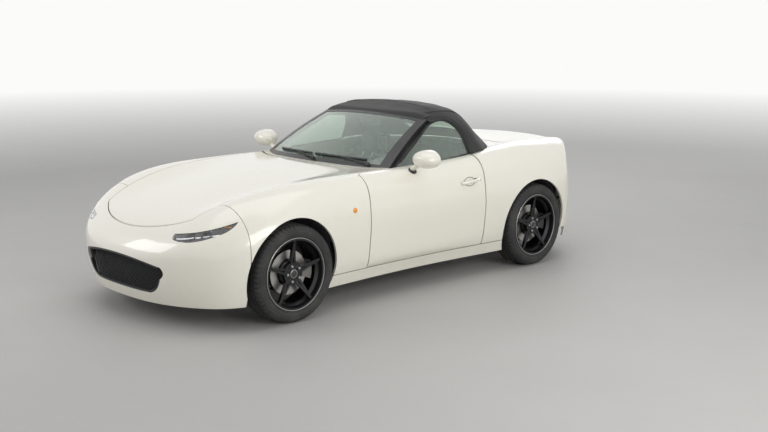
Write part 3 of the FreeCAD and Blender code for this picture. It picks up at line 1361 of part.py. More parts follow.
save("boot_hinges", *make_hinge_brackets(boot_hinge_x, boot_hinge_y, boot_hinge_z,
                                         boot_hinge_y + 16, ledge_z + seat_clearance))
for name, place in (("left", lambda s: s), ("right", mirrored)):
    save("door_" + name, place(door))
    save("door_glass_" + name, place(side_glass))
    save("mirror_" + name, place(mirror))
    save("half_shaft_" + name, place(half_shaft))
    for axle, y, track in (("front", front_axle_y, front_track), ("rear", rear_axle_y, rear_track)):
        for piece, shape in (("tyre", tyre), ("rim", rim)):
            moved = shape.copy()
            moved.translate(V(track / 2, y, axle_height))
            save(piece + "_" + axle + "_" + name, place(moved))
    moved = knuckle.copy()
    moved.translate(V(front_track / 2, front_axle_y, axle_height))
    save("knuckle_" + name, place(moved))
save("front_suspension", *make_front_suspension())
save("rear_suspension", make_rear_suspension())
save("engine", make_engine())
save("driveline", make_driveline())
save("exhaust", make_exhaust())
save("dashboard", make_dashboard())
save("steering_wheel", make_steering_wheel())
save("seats", seat, mirrored(seat))
save("centre_console", make_console())
save("roll_hoops", *make_hoops())
save("wipers", *make_wipers())
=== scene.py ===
# %% [markdown]
# # A small open two-seat car with its fabric top closed
# The exact solids of the car come in as a fixed frame. This lesson dresses them: it gives every panel,
# lamp, wheel and seat a finish with its own small structure, and it adds the fine pieces that the solids
# leave out. Everything is in metres, with the nose towards -Y and the car's left side towards +X.

# %% Load the frame
import math

import bmesh
import bpy
from mathutils import Matrix, Vector
from mathutils.bvhtree import BVHTree


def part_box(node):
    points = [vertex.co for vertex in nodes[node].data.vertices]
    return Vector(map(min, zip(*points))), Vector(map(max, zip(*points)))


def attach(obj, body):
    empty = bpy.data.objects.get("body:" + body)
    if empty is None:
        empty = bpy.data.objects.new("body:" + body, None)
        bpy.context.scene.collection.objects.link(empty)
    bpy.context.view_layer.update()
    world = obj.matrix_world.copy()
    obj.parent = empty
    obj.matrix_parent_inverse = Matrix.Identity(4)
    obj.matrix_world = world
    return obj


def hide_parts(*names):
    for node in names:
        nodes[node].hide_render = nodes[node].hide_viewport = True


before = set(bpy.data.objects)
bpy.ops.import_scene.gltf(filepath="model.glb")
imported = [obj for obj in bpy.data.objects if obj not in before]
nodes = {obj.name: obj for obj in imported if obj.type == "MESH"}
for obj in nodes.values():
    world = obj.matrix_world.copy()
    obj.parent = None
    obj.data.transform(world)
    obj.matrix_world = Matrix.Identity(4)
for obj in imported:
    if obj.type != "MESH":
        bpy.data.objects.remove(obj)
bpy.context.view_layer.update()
scene = bpy.context.scene

# %% [markdown]
# ## Maths on sockets
# A material is a small graph of nodes. Written node by node it is hard to read, so one class wraps an
# output socket and lets plain Python expressions build the Math nodes. Colours go through Mix nodes
# instead, because a Math node would turn them grey.

# %% A socket that can be added and multiplied
class Wire:
    """An output socket in a node tree, usable in expressions."""

    def __init__(self, maker, socket):
        self.maker = maker
        self.socket = socket

    def math(self, operation, *values):
        return self.maker.add("ShaderNodeMath", {"operation": operation}, dict(enumerate(values)))

    def __add__(self, other):
        return self.math("ADD", self, other)

    def __radd__(self, other):
        return self.math("ADD", other, self)

    def __sub__(self, other):
        return self.math("SUBTRACT", self, other)

    def __rsub__(self, other):
        return self.math("SUBTRACT", other, self)

    def __mul__(self, other):
        return self.math("MULTIPLY", self, other)

    def __rmul__(self, other):
        return self.math("MULTIPLY", other, self)

    def __truediv__(self, other):
        return self.math("DIVIDE", self, other)

    def power(self, exponent):
        return self.math("POWER", self, exponent)

    def wave(self):
        return self.math("SINE", self)

    def over(self, limit):
        return self.math("GREATER_THAN", self, limit)


class Finish:
    """A material under construction: adds nodes and sets the main shader's sockets."""

    def __init__(self, name):
        self.material = bpy.data.materials.new(name)
        self.material.use_nodes = True
        self.tree = self.material.node_tree
        self.shader = self.tree.nodes["Principled BSDF"]

    def add(self, kind, settings=None, inputs=None, output=0):
        node = self.tree.nodes.new(kind)
        for key, value in (settings or {}).items():
            setattr(node, key, value)
        for key, value in (inputs or {}).items():
            self.feed(node.inputs[key], value)
        return Wire(self, node.outputs[output])

    def feed(self, socket, value):
        if isinstance(value, Wire):
            self.tree.links.new(value.socket, socket)
        else:
            socket.default_value = value

    def set(self, **sockets):
        for key, value in sockets.items():
            self.feed(self.shader.inputs[key.replace("_", " ")], value)
        return self

    def place(self):
        return self.add("ShaderNodeTexCoord", output=3)

    def axis(self, number):
        return self.add("ShaderNodeSeparateXYZ", inputs={0: self.place()}, output=number)

    def noise(self, scale, detail=2.0, at=None):
        sockets = {"Vector": at or self.place(), "Scale": scale, "Detail": detail}
        return self.add("ShaderNodeTexNoise", inputs=sockets)

    def stretched(self, x, y, z):
        return self.add("ShaderNodeMapping", inputs={"Vector": self.place(), "Scale": (x, y, z)})

    def ramp(self, value, low, high):
        """0 below low, 1 above high."""
        return self.add("ShaderNodeMapRange", inputs={0: value, 1: low, 2: high, 3: 0.0, 4: 1.0})

    def mix(self, share, first, second):
        """A colour between two colours."""
        return self.add("ShaderNodeMix", {"data_type": "RGBA"}, {0: share, 6: first, 7: second}, output=2)

    def bump(self, height, depth, strength=1.0):
        sockets = {"Height": height, "Distance": depth, "Strength": strength}
        return self.set(Normal=self.add("ShaderNodeBump", inputs=sockets))


def colour(r, g, b):
    return (r, g, b, 1.0)


print("socket maths ready")

# %% [markdown]
# ## Paint
# The car wears a pearl white with a warm cast. Real paint is a coloured coat with fine flakes, with a
# clear coat over it that ripples a little, the so-called orange peel. A flat white would do from far
# away, but the ripple and the soft change of the base make the long panels look sprayed rather than
# moulded.

# %% Body paint
def pearl_paint():
    f = Finish("pearl_white")
    drift = f.noise(1.7, 2.0)
    flakes = f.ramp(f.noise(2600.0, 0.0), 0.56, 0.72)
    base = f.mix(drift, colour(0.82, 0.79, 0.685), colour(0.85, 0.82, 0.72))
    base = f.mix(flakes * 0.16, base, colour(0.92, 0.895, 0.82))
    # Towards the bottom the base darkens in patches: painted shade for the lower sides and sills. The same
    # patches make the coat rougher and thinner there, as road dust does.
    patch_mask = f.ramp(f.axis(2), 0.42, 0.16) * f.noise(24.0, 4.0)
    base = f.mix(patch_mask * 0.32, base, colour(0.55, 0.52, 0.46))
    f.set(Base_Color=base, Roughness=0.34 + patch_mask * 0.2, Metallic=0.0, Coat_Weight=1.0 - patch_mask * 0.5)
    f.set(Coat_Roughness=0.035, Coat_IOR=1.5)
    f.bump(f.noise(420.0, 0.0), 0.00006, 0.35)
    return f.material


paint = pearl_paint()
print("paint", paint.name)

# %% [markdown]
# ## Rubber, plastic, metal and glass
# Most of the other surfaces are dark, and they differ only in how they catch light: rubber is dull and a
# little dusty, moulded plastic has a fine grain, satin metal is smooth with a long soft highlight. One
# function per family keeps them apart, and its arguments give each piece its own shade.

# %% Dull and grained dark finishes
def rubber(name, shade=0.022, dusty=0.35):
    f = Finish(name)
    # Pale dust in patches.
    patch_mask = f.ramp(f.noise(9.0, 5.0), 0.42, 0.75) * dusty
    tint = f.mix(patch_mask, colour(shade, shade, shade * 1.03), colour(0.105, 0.098, 0.088))
    f.set(Base_Color=tint, Roughness=0.72 + patch_mask * 0.2)
    f.bump(f.noise(900.0, 2.0), 0.00012, 0.5)
    return f.material


def grained(name, r, g, b, rough=0.55, grain=1400.0, depth=0.00012):
    f = Finish(name)
    cells = f.add("ShaderNodeTexVoronoi", inputs={"Vector": f.place(), "Scale": grain})
    wear = f.noise(14.0, 3.0)
    tint = f.mix(wear * 0.5, colour(r, g, b), colour(r * 1.5 + 0.004, g * 1.5 + 0.004, b * 1.5 + 0.004))
    f.set(Base_Color=tint, Roughness=rough + (wear - 0.5) * 0.12)
    f.bump(cells, depth, 0.6)
    return f.material


def metal(name, r, g, b, rough=0.32, scale=300.0, stain=0.3):
    f = Finish(name)
    streaks = f.noise(scale, 3.0)
    patches = f.ramp(f.noise(18.0, 4.0), 0.45, 0.8) * stain
    tint = f.mix(patches, colour(r, g, b), colour(r * 0.55, g * 0.5, b * 0.45))
    f.set(Base_Color=tint, Metallic=1.0 - patches * 0.3)
    f.set(Roughness=rough + (streaks - 0.5) * 0.22 + patches * 0.2)
    f.bump(streaks, 0.00005, 0.4)
    return f.material


def satin_paint(name, r, g, b, rough=0.42, coat=0.2):
    f = Finish(name)
    soot = f.ramp(f.noise(11.0, 4.0), 0.45, 0.8)
    tint = f.mix(soot * 0.35, colour(r, g, b), colour(0.09, 0.085, 0.08))
    f.set(Base_Color=tint, Roughness=rough + soot * 0.15, Coat_Weight=coat)
    f.bump(f.noise(500.0, 2.0), 0.00005, 0.3)
    return f.material


def pane(name, r, g, b, clear=0.9, rough=0.02):
    f = Finish(name)
    haze = f.ramp(f.noise(6.0, 4.0), 0.5, 0.85)
    f.set(Base_Color=colour(r, g, b), Roughness=rough + haze * 0.03, IOR=1.5)
    f.set(Transmission_Weight=clear)
    return f.material


tyre_rubber = rubber("tyre_rubber", 0.02)
seal_rubber = rubber("seal_rubber", 0.012, 0.12)
black_plastic = grained("black_plastic", 0.022, 0.022, 0.024)
gloss_black = satin_paint("gloss_black", 0.012, 0.012, 0.013, 0.16, 0.8)
satin_black = satin_paint("satin_black", 0.014, 0.014, 0.015, 0.38, 0.15)
chassis_black = satin_paint("chassis_black", 0.035, 0.035, 0.037, 0.55)
floor_black = satin_paint("underbody_black", 0.06, 0.06, 0.062, 0.7, 0.0)
rim_dark = metal("rim_dark", 0.052, 0.052, 0.055, 0.34, stain=0.15)
disc_steel = metal("disc_steel", 0.50, 0.49, 0.47, 0.30, stain=0.2)
bare_steel = metal("bare_steel", 0.48, 0.47, 0.46, 0.35)
cast_alloy = metal("cast_alloy", 0.42, 0.42, 0.42, 0.52, scale=80.0)
pipe_steel = metal("pipe_steel", 0.56, 0.54, 0.50, 0.22)
chrome = metal("bright_trim", 0.80, 0.80, 0.80, 0.08, stain=0.05)
screen_glass = pane("green_glass", 0.74, 0.86, 0.77)
lamp_cover = pane("lamp_cover", 0.95, 0.96, 0.97, 1.0)
mirror_glass = metal("mirror_glass", 0.86, 0.87, 0.88, 0.03, stain=0.03)
print("finishes", len(bpy.data.materials))

# %% [markdown]
# ## Cloth of the top, leather and seat cloth
# The folding top is a black canvas: a twill, whose threads cross in diagonal steps. Two sine waves along
# the surface, one turned against the other, give its rise and fall at a thread every half millimetre or
# so. Leather has closed cells of many sizes, so it gets two scales of Voronoi cells.

# %% Woven and leather finishes
def canvas():
    f = Finish("top_canvas")
    x, y, z = f.axis(0), f.axis(1), f.axis(2)
    twill = ((x + y) * 2600.0).wave() * ((y - x + z) * 3400.0).wave()
    fade = f.noise(2.3, 4.0)
    creases = f.noise(5.0, 3.0, f.stretched(0.7, 2.4, 1.0))
    tint = f.mix(fade, colour(0.013, 0.013, 0.0135), colour(0.026, 0.0255, 0.025))
    tint = f.mix(twill.over(0.1) * 0.3, tint, colour(0.045, 0.044, 0.042))
    f.set(Base_Color=tint, Roughness=0.86 + (fade - 0.5) * 0.1)
    f.set(Sheen_Weight=0.12, Sheen_Roughness=0.5)
    f.bump(twill * 0.12 + creases, 0.0016, 0.55)
    return f.material


def leather(name, r, g, b, rough=0.48):
    f = Finish(name)
    sockets = {"Vector": f.place(), "Scale": 620.0}
    cells = f.add("ShaderNodeTexVoronoi", {"feature": "DISTANCE_TO_EDGE"}, sockets)
    large = f.noise(26.0, 3.0)
    tint = f.mix(large, colour(r, g, b), colour(r * 1.7, g * 1.7, b * 1.7))
    f.set(Base_Color=tint, Roughness=rough + (large - 0.5) * 0.16)
    f.bump(f.ramp(cells, 0.0, 0.25) + large * 0.6, 0.0003, 0.5)
    return f.material


def seat_cloth():
    f = Finish("seat_cloth")
    x, y, z = f.axis(0), f.axis(1), f.axis(2)
    weave = (x * 3900.0).wave() * ((y + z) * 3900.0).wave()
    worn = f.noise(7.0, 4.0)
    tint = f.mix(worn, colour(0.030, 0.030, 0.032), colour(0.052, 0.051, 0.052))
    tint = f.mix(weave.over(0.3) * 0.4, tint, colour(0.11, 0.11, 0.115))
    f.set(Base_Color=tint, Roughness=0.9)
    f.set(Sheen_Weight=0.3)
    f.bump(weave, 0.0004, 0.5)
    return f.material


canvas_black = canvas()
wheel_leather = leather("wheel_leather", 0.020, 0.020, 0.021, 0.42)
trim_leather = leather("trim_leather", 0.030, 0.029, 0.029)
cushion_cloth = seat_cloth()
dash_black = grained("dash_black", 0.028, 0.028, 0.030, 0.66, 900.0, 0.00025)
print("soft finishes ready")

# %% [markdown]
# ## Finishes on the solids
# Each solid keeps its shape and gets the finish of the real piece. A table from names to finishes is the
# plainest way to do it, and a loop fills the left and right copies.

# %% Dress the solids
finish_of = {
    "tub": floor_black, "front_wings": paint, "rear_quarters": paint, "sills": paint, "front_bumper": paint,
    "rear_bumper": paint, "grille": black_plastic, "headlamps": lamp_cover, "lamp_units": gloss_black,
    "rear_deck": paint, "cowl": paint, "windscreen_frame": satin_black, "windscreen": screen_glass,
    "soft_top": canvas_black, "rear_window": screen_glass, "bonnet": paint, "boot_lid": paint,
    "door_hinges": bare_steel, "bonnet_hinges": bare_steel, "boot_hinges": bare_steel,
    "front_suspension": chassis_black, "rear_suspension": chassis_black, "engine": cast_alloy,
    "driveline": cast_alloy, "exhaust": pipe_steel, "dashboard": dash_black, "steering_wheel": wheel_leather,
    "seats": cushion_cloth, "centre_console": dash_black, "roll_hoops": gloss_black, "wipers": black_plastic,
    "door": paint, "door_glass": screen_glass, "mirror": paint, "half_shaft": bare_steel,
    "knuckle": metal("cast_iron", 0.22, 0.21, 0.20, 0.6, scale=60.0), "tyre_front": tyre_rubber,
    "tyre_rear": tyre_rubber, "rim_front": rim_dark, "rim_rear": rim_dark,
}


def without_side(name):
    return name.replace("_left", "").replace("_right", "")


def dress(node, material):
    for place in nodes[node].material_slots:
        place.material = material
    if not nodes[node].material_slots:
        nodes[node].data.materials.append(material)


dressed = [name for name in nodes if without_side(name) in finish_of]
for name in dressed:
    dress(name, finish_of[without_side(name)])
print("dressed", len(dressed), "of", len(nodes), "solids")

# %% [markdown]
# ## Tools for fitted pieces
# Trim follows the panels it sits on. Instead of typing coordinates, a ray is sent onto a solid and the
# piece is placed where it lands, so a seal or a handle fits even if the panel changes. A tube along such
# points makes seals, cords and arms; a turned profile makes round parts; a thick sheet over a grid of
# points makes covers.

# %% Rays onto solids
both_sides = (("left", 1), ("right", -1))
beside, above, behind = 1.2, 1.6, 2.3
trees = {}


def land(node, start, way):
    """Point and outward normal where a ray meets a solid, or None."""
    if node not in trees:
        mesh = nodes[node].data
        corners = [vertex.co for vertex in mesh.vertices]
        trees[node] = BVHTree.FromPolygons(corners, [tuple(face.vertices) for face in mesh.polygons])
    way = Vector(way).normalized()
    point, normal, _, _ = trees[node].ray_cast(Vector(start), way)
    if point is None:
        return None
    if normal.dot(way) > 0:
        normal = -normal
    return point, normal


def from_side(node, sign, y, z):
    """A level ray from beside the car; a sign of 1 is the car's left."""
    return land(node, (sign * beside, y, z), (-sign, 0, 0))


def from_above(node, x, y):
    return land(node, (x, y, above), (0, 0, -1))


def from_behind(node, x, z):
    return land(node, (x, behind, z), (0, -1, 0))


def landed(node, starts, way, lift=0.0):
    """The points where parallel rays meet a solid, lifted off it, without those that miss."""
    found = [land(node, start, way) for start in starts]
    return [p + n * lift for p, n in (f for f in found if f)]


print("rays start", beside, "beside,", above, "above and", behind, "behind the middle")

# %% From points and faces to a piece
crease_angle = 38.0


def finish_piece(piece, body, material, smooth=True):
    piece.data.materials.append(material)
    if smooth and piece.type == "MESH":
        for face in piece.data.polygons:
            face.use_smooth = True
        piece.data.set_sharp_from_angle(angle=math.radians(crease_angle))
    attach(piece, body)
    return piece


def mesh_piece(name, points, faces, body, material, smooth=True):
    mesh = bpy.data.meshes.new(name)
    mesh.from_pydata([tuple(p) for p in points], [], faces)
    mesh.validate()
    shape = bmesh.new()
    shape.from_mesh(mesh)
    bmesh.ops.remove_doubles(shape, verts=shape.verts, dist=1e-6)
    bmesh.ops.recalc_face_normals(shape, faces=shape.faces)
    shape.to_mesh(mesh)
    shape.free()
    piece = bpy.data.objects.new(name, mesh)
    scene.collection.objects.link(piece)
    return finish_piece(piece, body, material, smooth)


print("creases stay sharp from", crease_angle, "degrees")

# %% Tubes and turned profiles
def tube(name, runs, radius, body, material, closed=False, flat=1.0, sides=8):
    """A round or flattened tube along one or several runs of points."""
    points, faces = [], []
    for run in runs:
        run = [Vector(p) for p in run]
        count = len(run)
        start = len(points)
        up = Vector((0, 0, 1))
        for i, at in enumerate(run):
            before = run[i - 1] if i or closed else at
            after = run[(i + 1) % count] if i < count - 1 or closed else at
            way = (after - before).normalized()
            side = way.cross(up)
            if side.length < 0.05:
                side = way.cross(Vector((0, 1, 0)))
            side.normalize()
            top = side.cross(way).normalized()
            for k in range(sides):
                a = 2 * math.pi * k / sides
                points.append(at + (side * math.cos(a) + top * math.sin(a) * flat) * radius)
        last = count if closed else count - 1
        for i in range(last):
            j = (i + 1) % count
            for k in range(sides):
                m = (k + 1) % sides
                faces.append((start + i * sides + k, start + i * sides + m, start + j * sides + m,
                              start + j * sides + k))
        if not closed:
            faces.append(tuple(start + k for k in range(sides)))
            faces.append(tuple(start + (count - 1) * sides + k for k in reversed(range(sides))))
    return mesh_piece(name, points, faces, body, material)


def turned(name, profile, centre, axis, body, material, steps=48, closed=True):
    """A profile of (radius, height along the axis) turned about an axis; several centres make one piece."""
    centres = centre if isinstance(centre, list) else [centre]
    turn = Vector((0, 0, 1)).rotation_difference(Vector(axis)).to_matrix()
    points, faces = [], []
    for at in centres:
        start = len(points)
        n = len(profile)
        for k in range(steps):
            a = 2 * math.pi * k / steps
            for r, h in profile:
                points.append(Vector(at) + turn @ Vector((r * math.cos(a), r * math.sin(a), h)))
        for k in range(steps):
            m = (k + 1) % steps
            for i in range(n if closed else n - 1):
                j = (i + 1) % n
                faces.append((start + k * n + i, start + m * n + i, start + m * n + j, start + k * n + j))
    return mesh_piece(name, points, faces, body, material)


print("tubes and turned profiles ready")

# %% Rounded blocks and thick sheets
def soft_block(name, places, size, body, material, round_by=0.004):
    """Blocks with rounded edges, one or several of the same size as one piece."""
    shape = bmesh.new()
    for at in places:
        made = bmesh.ops.create_cube(shape, size=1.0)["verts"]
        bmesh.ops.scale(shape, vec=Vector(size), verts=made)
        bmesh.ops.translate(shape, vec=Vector(at), verts=made)
    mesh = bpy.data.meshes.new(name)
    bmesh.ops.bevel(shape, geom=list(shape.edges), offset=round_by, segments=3, affect="EDGES", profile=0.5)
    shape.to_mesh(mesh)
    shape.free()
    piece = bpy.data.objects.new(name, mesh)
    scene.collection.objects.link(piece)
    return finish_piece(piece, body, material)


def grid_normals(grid):
    """Normal at each point of a grid, from the runs to its neighbours."""
    rows, columns = len(grid), len(grid[0])
    normals = []
    for i in range(rows):
        for j in range(columns):
            along = grid[min(i + 1, rows - 1)][j] - grid[max(i - 1, 0)][j]
            across = grid[i][min(j + 1, columns - 1)] - grid[i][max(j - 1, 0)]
            normals.append(across.cross(along).normalized())
    return normals


def sheet_over(name, grid, thickness, body, material, outward=None):
    """A thick sheet under a grid of points; outward(point), or the grid's own normal, is its outer side."""
    rows, columns = len(grid), len(grid[0])
    top = [Vector(p) for row in grid for p in row]
    ways = [outward(p) for p in top] if outward else grid_normals(grid)
    under = [p - way * thickness for p, way in zip(top, ways)]
    points = top + under
    faces = []
    size = rows * columns
    for i in range(rows - 1):
        for j in range(columns - 1):
            a, b = i * columns + j, (i + 1) * columns + j
            faces.append((a, b, b + 1, a + 1))
            faces.append((size + a, size + a + 1, size + b + 1, size + b))
    rim = [i * columns for i in range(rows)]
    rim += [(rows - 1) * columns + j for j in range(1, columns)]
    rim += [i * columns + columns - 1 for i in reversed(range(rows - 1))]
    rim += list(reversed(range(1, columns - 1)))
    for a, b in zip(rim, rim[1:] + rim[:1]):
        faces.append((a, b, size + b, size + a))
    return mesh_piece(name, points, faces, body, material)


def spread(low, high, count):
    """A number of even steps from low to high."""
    return [low + (high - low) * i / (count - 1) for i in range(count)]


def circle(count):
    """The angles of points all round a circle."""
    return spread(0, 2 * math.pi, count + 1)[:-1]


def smoothed(points, rounds=4):
    """Each inner point moves to the mean of its neighbours, a few times over."""
    points = [Vector(p) for p in points]
    for _ in range(rounds):
        inner = [(a + b * 2 + c) / 4 for a, b, c in zip(points, points[1:], points[2:])]
        points = [points[0]] + inner + [points[-1]]
    return points


def even_columns(grid, rounds):
    """A grid of points, smoothed down each of its columns."""
    columns = [smoothed(column, rounds) for column in zip(*grid)]
    return [list(row) for row in zip(*columns)]


print("tools ready")

# %% [markdown]
# ## Tyres
# A tyre is a turned shape with one break in its symmetry: the tread blocks. The profile is swept round in
# uneven steps, four to a block, and at the two steps between blocks the shoulder points drop by the
# groove's depth. That gives real cross grooves without any cutting. The ribs on the flank protect the rim
# and catch a line of light.

# %% Values of the wheels
front_axle, rear_axle, hub_height = -1.1975, 1.1125, 0.308
front_track, rear_track = 1.495, 1.505
tread_blocks = 60
groove_depth = 0.006
block_steps = ((0.0, False), (0.45, False), (0.86, False), (0.885, True), (0.975, True))
plain, shoulder, centre_rib = 0, 1, 2
flank = [(0.2165, 0.0884), (0.2290, 0.0892), (0.2360, 0.0965), (0.2385, 0.0990),
         (0.2410, 0.0975), (0.2520, 0.1018), (0.2620, 0.1022), (0.2634, 0.1036),
         (0.2650, 0.1022), (0.2780, 0.1003), (0.2794, 0.1012), (0.2808, 0.0998)]
tread = [(0.2930, 0.0915, shoulder), (0.3000, 0.0840, shoulder), (0.3052, 0.0715, shoulder),
         (0.3072, 0.0570, shoulder), (0.3010, 0.0555, plain), (0.3010, 0.0480, plain),
         (0.3078, 0.0465, plain), (0.3080, 0.0330, centre_rib), (0.3080, 0.0215, centre_rib),
         (0.3014, 0.0200, plain), (0.3014, 0.0115, plain), (0.3080, 0.0100, plain), (0.3080, 0.0, plain)]
wheels = []
for side, sign in both_sides:
    wheels.append(("front", side, sign, Vector((sign * front_track / 2, front_axle, hub_height))))
    wheels.append(("rear", side, sign, Vector((sign * rear_track / 2, rear_axle, hub_height))))
print("wheels", len(wheels))

# %% Swept tyres with cross grooves
def tyre_mesh(centre, sign):
    """Points and faces of one tyre, outboard to +X before the sign is applied."""
    half = [(r, x, plain) for r, x in flank] + tread
    profile = half + [(r, -x, kind) for r, x, kind in reversed(half[:-1])]
    pitch = 2 * math.pi / tread_blocks
    steps = [((block + share) * pitch, deep) for block in range(tread_blocks) for share, deep in block_steps]
    points, faces = [], []
    for angle, deep in steps:
        for r, x, kind in profile:
            lean = 0.035 * (abs(x) / 0.09) * {plain: 0.0, shoulder: 1.0, centre_rib: 0.5}[kind]
            depth = groove_depth * {plain: 0.0, shoulder: 1.0, centre_rib: 0.55}[kind] if deep else 0.0
            a = angle + lean * (1 if x > 0 else -1)
            spot = Vector((sign * x, (r - depth) * math.cos(a), (r - depth) * math.sin(a)))
            points.append(centre + spot)
    n, m = len(profile), len(steps)
    for k in range(m):
        j = (k + 1) % m
        for i in range(n):
            h = (i + 1) % n
            faces.append((k * n + i, j * n + i, j * n + h, k * n + h))
    return points, faces


for axle, side, sign, centre in wheels:
    points, faces = tyre_mesh(centre, sign)
    body = f"wheel_{axle}_{side}"
    tyre = mesh_piece(f"tread_tyre_{axle}_{side}", points, faces, body, tyre_rubber, smooth=False)
    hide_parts(f"tyre_{axle}_{side}")
print("faces in a tyre", len(faces))

# %% [markdown]
# ## Wheel fittings
# The rims come from the solids. The fittings are what makes them read as metal: a cut lip, hexagonal
# nuts, a domed cap, a valve, and a disc whose face is turned bright by the pads. A turned profile with
# six steps instead of forty-eight is a hexagon, which saves a second tool.

# %% Nuts, caps, lips, valves and disc faces
nut_circle, valve_circle = 0.050, 0.196
hub_face, valve_face, lip_face = 0.064, 0.070, 0.0916
for axle, side, sign, centre in wheels:
    tag = f"{axle}_{side}"
    body = f"wheel_{tag}"
    out = Vector((sign, 0, 0))
    face = centre + out * hub_face
    lip = [(0.2225, 0.0), (0.2275, 0.0), (0.2275, 0.0022), (0.2262, 0.0030), (0.2235, 0.0026)]
    turned(f"rim_lip_{tag}", lip, centre + out * lip_face, out, body, disc_steel, 96)
    cap = [(0.0, 0.0), (0.029, 0.0), (0.029, 0.003), (0.026, 0.0062), (0.016, 0.0082), (0.0, 0.0088)]
    turned(f"hub_cap_{tag}", cap, face, out, body, gloss_black, 40, closed=False)
    ring = [(0.0245, 0.0064), (0.0262, 0.0062), (0.0262, 0.0074), (0.0245, 0.0076)]
    turned(f"cap_ring_{tag}", ring, face, out, body, chrome, 40)
    spots = []
    for k in range(5):
        a = math.radians(72 * k + 36)
        spots.append(face + Vector((0, math.cos(a), math.sin(a))) * nut_circle)
    nut = [(0.0, 0.0), (0.0098, 0.0), (0.0098, 0.010), (0.0080, 0.0135), (0.0, 0.0150)]
    turned(f"wheel_nuts_{tag}", nut, spots, out, body, bare_steel, 6, closed=False)
    valve_spot = centre + out * valve_face + Vector((0, 0, valve_circle))
    valve = [(0.0, 0.0), (0.0045, 0.0), (0.0045, 0.016), (0.0032, 0.018), (0.0032, 0.026), (0.0, 0.027)]
    turned(f"valve_{tag}", valve, valve_spot, out, body, seal_rubber, 12, closed=False)
    swept = [(0.0880, 0.0142), (0.1404, 0.0142), (0.1404, 0.0150), (0.0880, 0.0150)]
    turned(f"disc_face_{tag}", swept, centre, out, body, disc_steel, 96)
print("wheel fittings on", len(wheels), "wheels")

# %% [markdown]
# ## The fabric top
# The top is stretched over bows, so it is not a plain bulge: it lies hard on each bow and sinks a few
# millimetres between them, and pulls in a little along its seams. The solid gives the true outline. A
# copy of it is remeshed into even small squares, and each point is moved along its normal by a sum of
# soft waves.

# %% Remesh a copy of the top and let it sag between its bows
def apply_modifiers(piece):
    graph = bpy.context.evaluated_depsgraph_get()
    made = bpy.data.meshes.new_from_object(piece.evaluated_get(graph))
    piece.modifiers.clear()
    piece.data = made


def remeshed_copy(name, node, voxel):
    piece = bpy.data.objects.new(name, nodes[node].data.copy())
    piece.data.materials.clear()
    scene.collection.objects.link(piece)
    remesh = piece.modifiers.new("even", "REMESH")
    remesh.mode = "VOXEL"
    remesh.voxel_size = voxel
    smooth = piece.modifiers.new("soft", "SMOOTH")
    smooth.factor = 0.5
    smooth.iterations = 3
    apply_modifiers(piece)
    return piece


bow_lines, last_bow = (0.20, 0.42, 0.66), 0.95
sag_depth, ripple_height = 0.0055, 0.0012
top = remeshed_copy("fabric_top", "soft_top", 0.0085)
shift = []
for vertex in top.data.vertices:
    x, y, z = vertex.co
    sag = 0.0
    for first, second in zip(bow_lines, bow_lines[1:] + (last_bow,)):
        if first < y < second:
            share = (y - first) / (second - first)
            sag = math.sin(math.pi * share) ** 2 * sag_depth
    flank_share = min(max((z - 0.90) / 0.12, 0.0), 1.0)
    ripple = ripple_height * math.sin(34 * x + 9 * y) * math.sin(21 * y + 3 * x)
    shift.append(vertex.normal * (ripple - sag) * flank_share)
for vertex, move in zip(top.data.vertices, shift):
    vertex.co = vertex.co + move
finish_piece(top, "body", canvas_black)
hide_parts("soft_top")

# %% [markdown]
# ## Seams of the top
# Panels of canvas are joined by flat seams that carry a double line of stitches. They run from the header
# along each side of the roof, and round the glass at the back. They are thin flattened tubes on points
# that rays find on the cloth, so they follow every bow.

# %% Seams and the binding along the edges
def on_top(x, y, lift=0.0):
    found = from_above("soft_top", x, y)
    return found[0] + found[1] * lift if found else None


def seam(name, starts, radius):
    run = [on_top(x, y, 0.0005) for x, y in starts]
    run = smoothed([p for p in run if p is not None])
    tube(name, [run], radius, "body", canvas_black, flat=0.45)


for side, sign in both_sides:
    line = [(sign * (0.440 + 0.055 * math.sin(math.pi * t)), 0.20 + 0.62 * t) for t in spread(0.0, 1.0, 28)]
    seam(f"roof_seam_{side}", line, 0.0042)
cross = [(x, 0.405 - 0.03 * (x / 0.45) ** 2) for x in spread(-0.44, 0.44, 30)]
seam("roof_seam_cross", cross, 0.0036)
header = [(x, 0.212 + 0.262 * x * x) for x in spread(-0.50, 0.50, 34)]
seam("header_binding", header, 0.0055)
print("seams laid")

# %% [markdown]
# ## Rear window
# The glass sits in the cloth in a moulded rubber frame, and thin printed lines heat it. The frame is a
# closed tube on the edge of the pane. To find the edge, rays are stepped outwards from the middle of the
# pane until they miss it.

# %% Window frame and heating lines
glass_low, glass_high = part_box("rear_window")


def edge_of_pane(middle, way):
    low, high = 0.0, 0.6
    for _ in range(18):
        reach = (low + high) / 2
        if from_above("rear_window", middle[0] + way[0] * reach, middle[1] + way[1] * reach):
            low = reach
        else:
            high = reach
    found = from_above("rear_window", middle[0] + way[0] * low, middle[1] + way[1] * low)
    return found[0] + found[1] * 0.001 if found else None


middle = (0.0, (glass_low.y + glass_high.y) / 2)
rim = [edge_of_pane(middle, (math.cos(a), math.sin(a))) for a in circle(96)]
rim = [p for p in rim if p is not None]
tube("rear_window_frame", [rim], 0.0075, "body", seal_rubber, closed=True, flat=0.6)
heat = metal("heating_line", 0.30, 0.13, 0.05, 0.5)
lines = []
for share in spread(0.12, 0.88, 9):
    y = glass_low.y + (glass_high.y - glass_low.y) * share
    run = [from_above("rear_window", x, y) for x in spread(-0.325, 0.325, 25)]
    lines.append([p[0] + p[1] * 0.0004 for p in run if p])
tube("heating_lines", [r for r in lines if len(r) > 4], 0.0011, "body", heat, sides=4)
print("rear window rim points", len(rim))

